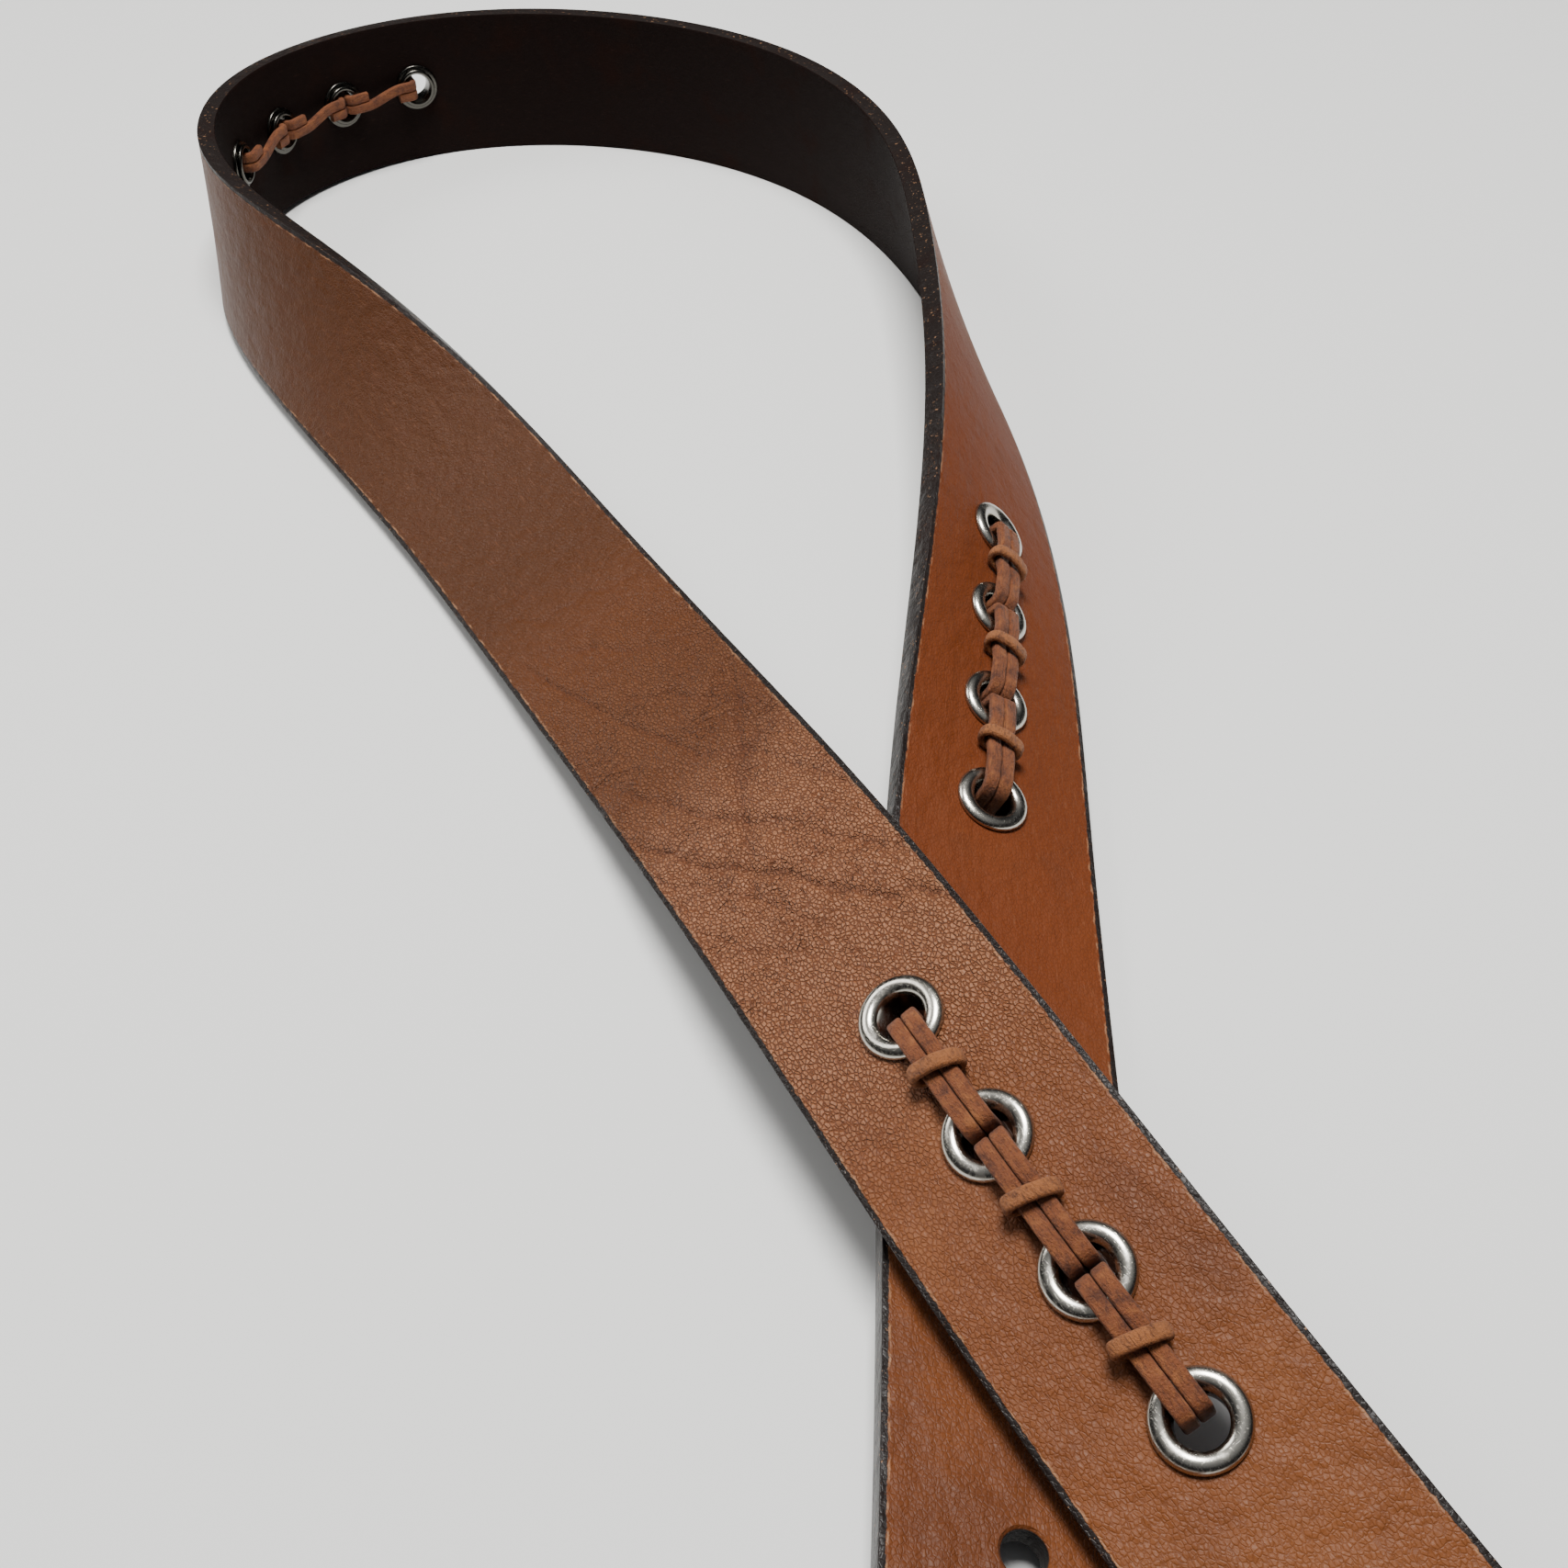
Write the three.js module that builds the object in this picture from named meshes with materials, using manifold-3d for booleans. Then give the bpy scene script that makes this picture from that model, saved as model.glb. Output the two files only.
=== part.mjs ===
// A laced leather belt, laid down in an open loop that crosses over itself.
// Millimetres, +Z up. The belt stands on its lower edge round the back of the loop
// and lies nearly flat at both ends. The buckle end points along -Y.
//
// Every soft piece is drawn flat first: x runs along the belt from the buckle, y runs
// across it towards the edge that stays down, and z is the height above the strap's middle,
// positive on the smooth outer face. layOnRoute then bends it along the route.

import * as THREE from 'three';
import { mergeVertices } from 'three/addons/utils/BufferGeometryUtils.js';
import Module from 'manifold-3d';

// ---------------------------------------------------------------- driving dimensions

const STRAP_WIDTH = 32;
const STRAP_THICKNESS = 3.7;
const EDGE_CHAMFER = 0.7;
const CLEARANCE = 0.2;

const BAR_AT = 10;            // where the buckle bar crosses the route
const TIP_AT = 1190;          // where the free end stops
const TIP_TAPER = 26;
const TIP_NOSE = 6;
const STRAP_STEP = 6;

const HOLE_COUNT = 5;
const HOLE_DIAMETER = 5.4;
const HOLE_PITCH = 25.4;
const FIRST_HOLE_AT = 999.5;

const EYELET_COUNT = 4;
const EYELET_PITCH = 19.5;
const EYELET_ROW_OFFSET = -0.9;  // towards the edge that stands up
const EYELET_BORE = 6.3;
const EYELET_WALL = 0.35;
const EYELET_FLANGE = 11.4;
const EYELET_DOME = 1.35;
const WASHER_DIAMETER = 10.4;
const WASHER_THICKNESS = 0.5;
const EYELET_ROLL = 0.7;
const ROLL_REACH = 0.9;
const EYELET_SIDES = 14;
const MOTIFS = { front: 145, left: 498.5, right: 829 };

const LACE_THICKNESS = 1.5;
const LACE_LEG_OFFSET = 0.95;
const LACE_BORE_GAP = 0.3;
const WRAP_THICKNESS = 1.2;
const WRAP_LENGTH = 2.3;

const FOLD_THICKNESS = 2.2;
const FOLD_TAB = 58;
const BAR_DIAMETER = 3.6;
const BAR_CLEARANCE = 0.3;
const SLOT_WIDTH = 6.2;
const SLOT_REACH = 16;

const FRAME_REACH = 36;
const FRAME_SECTION = 5;
const FRAME_THICKNESS = 4;
const FRAME_SIDE_GAP = 1.5;
const FRAME_CORNER = 8;
const FRAME_DROP = 5.5;         // degrees that the frame hangs down from the strap's line

const PRONG_WIDTH = 4.4;
const PRONG_THICKNESS = 2.8;
const PRONG_EYE_WALL = 1.5;
const PRONG_OVERHANG = 1.6;

const KEEPER_AT = 36;
const KEEPER_LENGTH = 10;
const KEEPER_THICKNESS = 2.2;
const KEEPER_SIDE_GAP = 0.8;
const KEEPER_FOOT_GAP = 0.6;
const KEEPER_ROOM = 5.6;      // free height for the belt's tip

const SCREW_AT = 54;
const SCREW_SPREAD = 8.5;
const SCREW_HEAD = 8;
const SCREW_HEAD_HEIGHT = 1.3;
const SCREW_SHANK = 4.4;

// The route of the strap's middle, as the control points of one smooth cubic curve:
// x, y, height, and the lean of the strap in degrees (0 lies flat, 90 stands on edge).
const ROUTE = [
  [87.5, -131, 11, 0],
  [87.5, -82, 9, 0],
  [87.5, -34.5, 7, 0],
  [87.5, 11.5, 5, 12],
  [87.5, 57, 13.5, 23],
  [88.5, 103, 22.5, 28],
  [94.5, 149.5, 20.5, 26],
  [101, 195.5, 12, 25],
  [105.5, 242, 7.5, 23],
  [107.5, 289, 9.5, 30],
  [102, 335, 16, 60],
  [97.5, 383.5, 18, 86],
  [123.5, 425.5, 17, 96],
  [173, 432, 16, 94],
  [214, 402.5, 16, 90],
  [235, 358.5, 16, 90],
  [231.5, 311.5, 16, 84],
  [210.5, 268.5, 16.5, 71],
  [187.5, 227.5, 17.5, 58],
  [161, 189.5, 15, 42],
  [131, 153, 8, 23],
  [103.5, 115.5, 4.5, 11],
  [76.5, 77.5, 5.5, 13],
  [48, 40, 5.5, 13],
  [19.5, 2.5, 3, 5],
  [-8.5, -35, 2, 0],
  [-36.5, -72.5, 2, 0],
  [-64.5, -110.5, 2, 0],
  [-92.5, -148.5, 2, 0],
];

// ---------------------------------------------------------------- finishes

const finish = (colour, roughness, metalness) =>
  () => new THREE.MeshStandardMaterial({ color: colour, roughness, metalness });
const strapLeather = finish(0x7c4a2c, 0.55, 0);
const laceLeather = finish(0x8a5530, 0.6, 0);
const nickel = finish(0xb9b4ac, 0.25, 1);

// ---------------------------------------------------------------- the route

const GRAIN = STRAP_THICKNESS / 2;
const HALF_WIDTH = STRAP_WIDTH / 2;

function blendRoute(t, column) {
  const spans = ROUTE.length - 3;
  const place = Math.min(Math.max(t, 0), 1) * spans;
  const first = Math.min(Math.floor(place), spans - 1);
  const f = place - first;
  const weights = [
    (1 - f) ** 3,
    3 * f ** 3 - 6 * f ** 2 + 4,
    -3 * f ** 3 + 3 * f ** 2 + 3 * f + 1,
    f ** 3,
  ];
  return weights.reduce((sum, weight, i) => sum + weight * ROUTE[first + i][column], 0) / 6;
}

class BeltRoute extends THREE.Curve {
  getPoint(t, target = new THREE.Vector3()) {
    return target.set(blendRoute(t, 0), blendRoute(t, 1), blendRoute(t, 2));
  }
}

const route = new BeltRoute();
route.arcLengthDivisions = 4000;
const ROUTE_LENGTH = route.getLength();

// The strap's own axes at a distance along the route: along, across and outwards.
function axesAt(distance) {
  const t = route.getUtoTmapping(0, distance);
  const along = route.getTangent(t);
  const level = new THREE.Vector3().crossVectors(along, new THREE.Vector3(0, 0, 1)).normalize();
  const upright = new THREE.Vector3().crossVectors(level, along);
  const lean = THREE.MathUtils.degToRad(blendRoute(t, 3));
  const across = level.clone().multiplyScalar(-Math.cos(lean)).addScaledVector(upright, -Math.sin(lean));
  const outwards = upright.multiplyScalar(Math.cos(lean)).addScaledVector(level, -Math.sin(lean));
  return { origin: route.getPoint(t), along, across, outwards };
}

function layOnRoute(geometry) {
  const position = geometry.attributes.position;
  const point = new THREE.Vector3();
  for (let i = 0; i < position.count; i += 1) {
    const axes = axesAt(position.getX(i));
    point.copy(axes.origin)
      .addScaledVector(axes.across, position.getY(i))
      .addScaledVector(axes.outwards, position.getZ(i));
    position.setXYZ(i, point.x, point.y, point.z);
  }
  return geometry;
}

// A stiff piece keeps its shape: its own origin goes to this distance along the route.
function setOnRoute(geometry, distance) {
  const axes = axesAt(distance);
  const matrix = new THREE.Matrix4().makeBasis(axes.along, axes.across, axes.outwards);
  return geometry.applyMatrix4(matrix.setPosition(axes.origin));
}

// ---------------------------------------------------------------- shape helpers

const wasm = await Module();
wasm.setup();

function toSolid(geometry) {
  const bare = geometry.clone();
  bare.deleteAttribute('normal');
  bare.deleteAttribute('uv');
  const merged = mergeVertices(bare, 1e-4);
  return new wasm.Manifold(new wasm.Mesh({
    numProp: 3,
    vertProperties: new Float32Array(merged.attributes.position.array),
    triVerts: new Uint32Array(merged.index.array),
  }));
}

function toGeometry(solid) {
  const mesh = solid.getMesh();
  const geometry = new THREE.BufferGeometry();
  geometry.setAttribute('position', new THREE.BufferAttribute(mesh.vertProperties, 3));
  geometry.setIndex(new THREE.BufferAttribute(mesh.triVerts, 1));
  return geometry;
}

const extrude = (shape, depth, options = {}) =>
  new THREE.ExtrudeGeometry(shape, { depth, bevelEnabled: false, curveSegments: 8, ...options });

// An outline drawn as (x, z), given its width across the belt and centred on y = 0.
const sideProfile = (shape, width, options) =>
  extrude(shape, width, options).rotateX(Math.PI / 2).translate(0, width / 2, 0);

function uprightCylinder(x, y, diameter, bottom, top, sides = 14) {
  const geometry = new THREE.CylinderGeometry(diameter / 2, diameter / 2, top - bottom, sides);
  return geometry.rotateX(Math.PI / 2).translate(x, y, (top + bottom) / 2);
}

function box(x0, x1, y0, y1, z0, z1) {
  const geometry = new THREE.BoxGeometry(x1 - x0, y1 - y0, z1 - z0);
  return geometry.translate((x0 + x1) / 2, (y0 + y1) / 2, (z0 + z1) / 2);
}

// An outline is turned anticlockwise, because a shape with a hole is extruded wrongly otherwise.
function outlineOf(points) {
  const corners = points.map(([x, y]) => new THREE.Vector2(x, y));
  return new THREE.Shape(THREE.ShapeUtils.isClockWise(corners) ? corners.reverse() : corners);
}

// ---------------------------------------------------------------- where things sit

const eyeletPlaces = (start) =>
  Array.from({ length: EYELET_COUNT }, (_, i) => start + i * EYELET_PITCH);
const FACE_GAP = GRAIN + CLEARANCE;
const BARREL_RADIUS = EYELET_BORE / 2 + EYELET_WALL;
const EYELET_HOLE = 2 * (BARREL_RADIUS + CLEARANCE);
const WASHER_FOOT = -FACE_GAP - WASHER_THICKNESS;
const ROLL_TOP = WASHER_FOOT - CLEARANCE;
const ROLL_FOOT = ROLL_TOP - EYELET_ROLL;
const LACE_OUTER_FOOT = GRAIN + EYELET_DOME + CLEARANCE;
const LACE_INNER_TOP = ROLL_FOOT - CLEARANCE;
// Two turns of lace side by side are as wide as the bore lets them pass at their outer legs.
const LACE_PAIR_WIDTH = 2 * (Math.sqrt((EYELET_BORE / 2) ** 2
  - (LACE_LEG_OFFSET + LACE_THICKNESS / 2) ** 2) - LACE_BORE_GAP);
const BAR_DEPTH = -GRAIN - BAR_DIAMETER / 2 - BAR_CLEARANCE;
const BAR_POCKET = BAR_DIAMETER / 2 + BAR_CLEARANCE;
const TAB_TOP = -GRAIN - CLEARANCE;
const TAB_FOOT = TAB_TOP - FOLD_THICKNESS;
const FOLD_FOOT = BAR_DEPTH - BAR_POCKET - FOLD_THICKNESS;

// ---------------------------------------------------------------- strap

function strapBlank() {
  const h = HALF_WIDTH;
  const c = EDGE_CHAMFER;
  const section = outlineOf([
    [-GRAIN, -h + c], [-GRAIN + c, -h], [GRAIN - c, -h], [GRAIN, -h + c], [GRAIN, 0],
    [GRAIN, h - c], [GRAIN - c, h], [-GRAIN + c, h], [-GRAIN, h - c], [-GRAIN, 0],
  ]);
  const start = BAR_AT + 2;
  const length = TIP_AT - start;
  const steps = Math.round(length / STRAP_STEP);
  return extrude(section, length, { steps }).rotateY(Math.PI / 2).translate(start, 0, 0);
}

// The strap's thinned end, folded back under itself round the buckle bar.
function foldBlank() {
  const outerRadius = (GRAIN - FOLD_FOOT) / 2;
  const shape = new THREE.Shape();
  shape.moveTo(6, GRAIN);
  shape.lineTo(0, GRAIN);
  shape.absarc(0, GRAIN - outerRadius, outerRadius, Math.PI / 2, Math.PI * 1.5, false);
  shape.bezierCurveTo(6, FOLD_FOOT, 8, TAB_FOOT, SLOT_REACH, TAB_FOOT);
  const tabSteps = Math.round((FOLD_TAB - SLOT_REACH) / STRAP_STEP);
  const tabPlaces = Array.from({ length: tabSteps + 1 },
    (_, i) => SLOT_REACH + (FOLD_TAB - SLOT_REACH) * i / tabSteps);
  tabPlaces.slice(1).forEach((x) => shape.lineTo(x, TAB_FOOT));
  tabPlaces.reverse().forEach((x) => shape.lineTo(x, TAB_TOP));
  shape.bezierCurveTo(9, TAB_TOP, 5, FOLD_FOOT + FOLD_THICKNESS, 0, FOLD_FOOT + FOLD_THICKNESS);
  shape.absarc(0, BAR_DEPTH, BAR_POCKET, Math.PI * 1.5, Math.PI / 2, true);
  shape.lineTo(6, -GRAIN);
  return sideProfile(shape, STRAP_WIDTH, { steps: 2 }).translate(BAR_AT, 0, 0);
}

function tipCutter(side) {
  const shape = new THREE.Shape();
  shape.moveTo(TIP_AT - TIP_TAPER, HALF_WIDTH);
  shape.quadraticCurveTo(TIP_AT - TIP_TAPER / 3, HALF_WIDTH, TIP_AT, TIP_NOSE / 2);
  shape.lineTo(TIP_AT + 2, TIP_NOSE / 2);
  shape.lineTo(TIP_AT + 2, HALF_WIDTH + 2);
  shape.lineTo(TIP_AT - TIP_TAPER, HALF_WIDTH + 2);
  const depth = STRAP_THICKNESS + 2;
  const cutter = extrude(shape, depth).translate(0, 0, -depth / 2);
  return side > 0 ? cutter : cutter.rotateX(Math.PI);
}

function makeStrap() {
  const blank = toSolid(layOnRoute(strapBlank())).add(toSolid(layOnRoute(foldBlank())));
  const through = [-GRAIN - 1, GRAIN + 1];
  const cutters = [tipCutter(1), tipCutter(-1)];
  for (let i = 0; i < HOLE_COUNT; i += 1) {
    cutters.push(uprightCylinder(FIRST_HOLE_AT + i * HOLE_PITCH, 0, HOLE_DIAMETER, ...through));
  }
  for (const start of Object.values(MOTIFS)) {
    for (const x of eyeletPlaces(start)) {
      cutters.push(uprightCylinder(x, EYELET_ROW_OFFSET, EYELET_HOLE, ...through));
    }
  }
  for (const side of [-1, 1]) {
    const y = side * SCREW_SPREAD;
    const hole = SCREW_SHANK + 2 * CLEARANCE;
    cutters.push(uprightCylinder(SCREW_AT, y, hole, TAB_FOOT - 1, GRAIN + 1));
  }
  const half = SLOT_WIDTH / 2;
  const slotEnd = BAR_AT + SLOT_REACH - half;
  cutters.push(box(0, slotEnd, -half, half, FOLD_FOOT - 1, GRAIN + 1));
  cutters.push(uprightCylinder(slotEnd, 0, SLOT_WIDTH, FOLD_FOOT - 1, GRAIN + 1));
  return toGeometry(cutters.reduce(
    (solid, cutter) => solid.subtract(toSolid(layOnRoute(cutter))), blank));
}

// ---------------------------------------------------------------- eyelets and lacing

function makeEyelet(x) {
  const bore = EYELET_BORE / 2;
  const flange = EYELET_FLANGE / 2;
  const crown = (bore + flange) / 2;
  const reach = BARREL_RADIUS + ROLL_REACH;
  const profile = [
    [bore, ROLL_TOP], [BARREL_RADIUS, ROLL_FOOT], [reach, ROLL_TOP], [BARREL_RADIUS, ROLL_TOP],
    [BARREL_RADIUS, FACE_GAP], [flange - 0.2, FACE_GAP], [flange, FACE_GAP + 0.25],
    [crown, GRAIN + EYELET_DOME], [bore, GRAIN + 0.6 * EYELET_DOME], [bore, ROLL_TOP],
  ].map(([r, z]) => new THREE.Vector2(r, z));
  const ring = new THREE.LatheGeometry(profile, EYELET_SIDES).rotateX(Math.PI / 2);
  return layOnRoute(ring.translate(x, EYELET_ROW_OFFSET, 0));
}

function makeWasher(x) {
  const shape = new THREE.Shape().absarc(0, 0, WASHER_DIAMETER / 2, 0, Math.PI * 2, false);
  shape.holes.push(new THREE.Path().absarc(0, 0, BARREL_RADIUS + CLEARANCE, 0, Math.PI * 2, true));
  const ring = extrude(shape, WASHER_THICKNESS, { curveSegments: EYELET_SIDES / 2 });
  return layOnRoute(ring.translate(x, EYELET_ROW_OFFSET, WASHER_FOOT));
}

// One stitch of lace: a closed loop over the outer face, down through one eyelet,
// back along the inner face and up through the next.
function laceOutline(startX, endX, top, foot, bend) {
  const nearX = startX + bend;
  const farX = endX - bend;
  const places = [0, 0.25, 0.5, 0.75, 1].map((f) => nearX + (farX - nearX) * f);
  return [
    ...places.map((x) => [x, foot]), [endX - bend * 0.3, foot + bend * 0.3],
    [endX, foot + bend], [endX, top - bend], [endX - bend * 0.3, top - bend * 0.3],
    ...places.reverse().map((x) => [x, top]), [startX + bend * 0.3, top - bend * 0.3],
    [startX, top - bend], [startX, foot + bend], [startX + bend * 0.3, foot + bend * 0.3],
  ];
}

function makeLace(x) {
  const near = LACE_LEG_OFFSET - LACE_THICKNESS / 2;
  const far = LACE_LEG_OFFSET + LACE_THICKNESS / 2;
  const shape = outlineOf(laceOutline(x + near, x + EYELET_PITCH - near,
    LACE_OUTER_FOOT + LACE_THICKNESS, LACE_INNER_TOP - LACE_THICKNESS, 1.2));
  const inside = outlineOf(laceOutline(x + far, x + EYELET_PITCH - far,
    LACE_OUTER_FOOT, LACE_INNER_TOP, 0.4));
  shape.holes.push(inside);
  const loop = sideProfile(shape, LACE_PAIR_WIDTH).translate(0, EYELET_ROW_OFFSET, 0);
  return layOnRoute(loop);
}

// A turn of lace round the middle of a stitch.
function makeWrap(x) {
  const innerHalf = LACE_PAIR_WIDTH / 2 + CLEARANCE;
  const outerHalf = innerHalf + WRAP_THICKNESS;
  const innerTop = LACE_OUTER_FOOT + LACE_THICKNESS + CLEARANCE;
  const outerTop = innerTop + WRAP_THICKNESS;
  const innerFoot = LACE_OUTER_FOOT - CLEARANCE;
  const c = 0.6;
  const shape = outlineOf([
    [FACE_GAP, -outerHalf + c], [FACE_GAP + c, -outerHalf], [outerTop - c, -outerHalf],
    [outerTop, -outerHalf + c], [outerTop, outerHalf - c], [outerTop - c, outerHalf],
    [FACE_GAP + c, outerHalf], [FACE_GAP, outerHalf - c],
  ].map(([z, y]) => [-z, y]));
  shape.holes.push(outlineOf([
    [-innerFoot, -innerHalf], [-innerTop, -innerHalf], [-innerTop, innerHalf], [-innerFoot, innerHalf],
  ]));
  const middle = x + EYELET_PITCH / 2 - WRAP_LENGTH / 2;
  const ring = extrude(shape, WRAP_LENGTH).rotateY(Math.PI / 2);
  return layOnRoute(ring.translate(middle, EYELET_ROW_OFFSET, 0));
}

// ---------------------------------------------------------------- buckle, keeper, screws

// Stiff pieces of the buckle are drawn with the bar's axis through their own origin.
const setAtBar = (geometry) => setOnRoute(geometry.translate(0, 0, BAR_DEPTH), BAR_AT);

function makeFrame() {
  const inner = HALF_WIDTH + FRAME_SIDE_GAP;
  const outer = inner + FRAME_SECTION;
  const eye = FRAME_THICKNESS / 2 + 0.6;
  const window = FRAME_CORNER - FRAME_SECTION;
  const shape = new THREE.Shape();
  shape.moveTo(eye, outer);
  shape.lineTo(-FRAME_REACH + FRAME_CORNER, outer);
  shape.absarc(-FRAME_REACH + FRAME_CORNER, outer - FRAME_CORNER, FRAME_CORNER,
    Math.PI / 2, Math.PI, false);
  shape.absarc(-FRAME_REACH + FRAME_CORNER, -outer + FRAME_CORNER, FRAME_CORNER,
    Math.PI, Math.PI * 1.5, false);
  shape.lineTo(eye, -outer);
  shape.lineTo(eye, -inner);
  shape.lineTo(-FRAME_REACH + FRAME_SECTION + window, -inner);
  shape.absarc(-FRAME_REACH + FRAME_SECTION + window, -inner + window, window,
    Math.PI * 1.5, Math.PI, true);
  shape.absarc(-FRAME_REACH + FRAME_SECTION + window, inner - window, window,
    Math.PI, Math.PI / 2, true);
  shape.lineTo(eye, inner);
  const bevel = 0.8;
  const body = extrude(shape, FRAME_THICKNESS - 2 * bevel, {
    bevelEnabled: true, bevelSize: bevel, bevelThickness: bevel, bevelOffset: -bevel,
    bevelSegments: 2, curveSegments: 6,
  }).translate(0, 0, -FRAME_THICKNESS / 2 + bevel);
  const bar = new THREE.CylinderGeometry(BAR_DIAMETER / 2, BAR_DIAMETER / 2, 2 * inner + 2, 16);
  const joined = toGeometry(toSolid(body).add(toSolid(bar)));
  return setAtBar(joined.rotateY(-THREE.MathUtils.degToRad(FRAME_DROP)));
}

function makeProng() {
  const eyeInner = BAR_DIAMETER / 2 + BAR_CLEARANCE;
  const eyeOuter = eyeInner + PRONG_EYE_WALL;
  const rest = FRAME_THICKNESS / 2 + BAR_CLEARANCE;
  const tip = -FRAME_REACH - PRONG_OVERHANG;
  const shape = new THREE.Shape();
  shape.moveTo(0, -eyeOuter);
  shape.absarc(0, 0, eyeOuter, -Math.PI / 2, Math.PI / 2, false);
  shape.bezierCurveTo(-8, eyeOuter + 1.4, tip + 14, rest + PRONG_THICKNESS + 0.4,
    tip + 6, rest + PRONG_THICKNESS);
  shape.quadraticCurveTo(tip + 1, rest + PRONG_THICKNESS - 0.4, tip, rest + 0.6);
  shape.lineTo(tip + 0.4, rest);
  shape.lineTo(tip + 8, rest);
  shape.bezierCurveTo(tip + 16, rest, -9, 1.6, -eyeOuter, -0.4);
  shape.absarc(0, 0, eyeOuter, Math.PI * 1.03, Math.PI * 1.5, false);
  shape.holes.push(new THREE.Path().absarc(0, 0, eyeInner, 0, Math.PI * 2, true));
  const body = sideProfile(shape, PRONG_WIDTH);
  return setAtBar(body.rotateY(-THREE.MathUtils.degToRad(FRAME_DROP)));
}

function makeKeeper() {
  const inner = HALF_WIDTH + KEEPER_SIDE_GAP;
  const outer = inner + KEEPER_THICKNESS;
  const foot = TAB_FOOT - KEEPER_FOOT_GAP;
  const roof = GRAIN + KEEPER_ROOM;
  const low = foot - KEEPER_THICKNESS;
  const high = roof + KEEPER_THICKNESS;
  const c = 1.4;
  const shape = outlineOf([
    [-low, -outer + c], [-low - c, -outer], [-high + c, -outer], [-high, -outer + c],
    [-high, outer - c], [-high + c, outer], [-low - c, outer], [-low, outer - c],
  ]);
  shape.holes.push(outlineOf([[-foot, -inner], [-roof, -inner], [-roof, inner], [-foot, inner]]));
  const band = extrude(shape, KEEPER_LENGTH).rotateY(Math.PI / 2);
  return setOnRoute(band.translate(-KEEPER_LENGTH / 2, 0, 0), KEEPER_AT);
}

// A screw post clamps the fold: the post's head sits outside, the screw's head under the tab.
function makeScrewPost(side) {
  const head = GRAIN + CLEARANCE;
  const shank = SCREW_SHANK / 2;
  const rim = SCREW_HEAD / 2;
  const foot = TAB_FOOT - CLEARANCE / 2;
  const profile = [
    [0, foot], [shank, foot], [shank, head], [rim, head], [rim, head + 0.4],
    [rim * 0.6, head + SCREW_HEAD_HEIGHT * 0.9], [0, head + SCREW_HEAD_HEIGHT],
  ].map(([r, z]) => new THREE.Vector2(r, z));
  const post = new THREE.LatheGeometry(profile, 14).rotateX(Math.PI / 2);
  return layOnRoute(post.translate(SCREW_AT, side * SCREW_SPREAD, 0));
}

function makeScrewHead(side) {
  const top = TAB_FOOT - CLEARANCE - CLEARANCE / 2;
  const rim = SCREW_HEAD / 2;
  const profile = [
    [0, top - SCREW_HEAD_HEIGHT], [rim * 0.7, top - SCREW_HEAD_HEIGHT], [rim, top - 0.4],
    [rim, top], [0, top],
  ].map(([r, z]) => new THREE.Vector2(r, z));
  const head = new THREE.LatheGeometry(profile, 14).rotateX(Math.PI / 2);
  const slot = box(-rim - 1, rim + 1, -0.5, 0.5, top - SCREW_HEAD_HEIGHT - 1, top - 0.8);
  const cut = toGeometry(toSolid(head).subtract(toSolid(slot)));
  return layOnRoute(cut.translate(SCREW_AT, side * SCREW_SPREAD, 0));
}

// ---------------------------------------------------------------- the belt

const group = new THREE.Group();

function addPiece(name, geometry, material) {
  const mesh = new THREE.Mesh(geometry, material());
  mesh.name = name;
  group.add(mesh);
}

addPiece('strap', makeStrap(), strapLeather);
for (const [place, start] of Object.entries(MOTIFS)) {
  eyeletPlaces(start).forEach((x, i) => {
    addPiece(`eyelet_${place}_${i + 1}`, makeEyelet(x), nickel);
    addPiece(`washer_${place}_${i + 1}`, makeWasher(x), nickel);
  });
  eyeletPlaces(start).slice(0, -1).forEach((x, i) => {
    addPiece(`lace_${place}_${i + 1}`, makeLace(x), laceLeather);
    addPiece(`wrap_${place}_${i + 1}`, makeWrap(x), laceLeather);
  });
}
addPiece('buckle_frame', makeFrame(), nickel);
addPiece('buckle_prong', makeProng(), nickel);
addPiece('keeper', makeKeeper(), strapLeather);
addPiece('screw_post_left', makeScrewPost(-1), nickel);
addPiece('screw_post_right', makeScrewPost(1), nickel);
addPiece('screw_head_left', makeScrewHead(-1), nickel);
addPiece('screw_head_right', makeScrewHead(1), nickel);

// The origin is at the middle of the laid belt's box, on the surface that it lies on.
const bounds = new THREE.Box3().setFromObject(group);
const middle = bounds.getCenter(new THREE.Vector3());
group.position.set(-middle.x, -middle.y, -bounds.min.z);
group.updateMatrixWorld(true);

export default group;
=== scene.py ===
import math

import bmesh
import bpy
import numpy as np
from mathutils import Matrix, Vector


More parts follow.
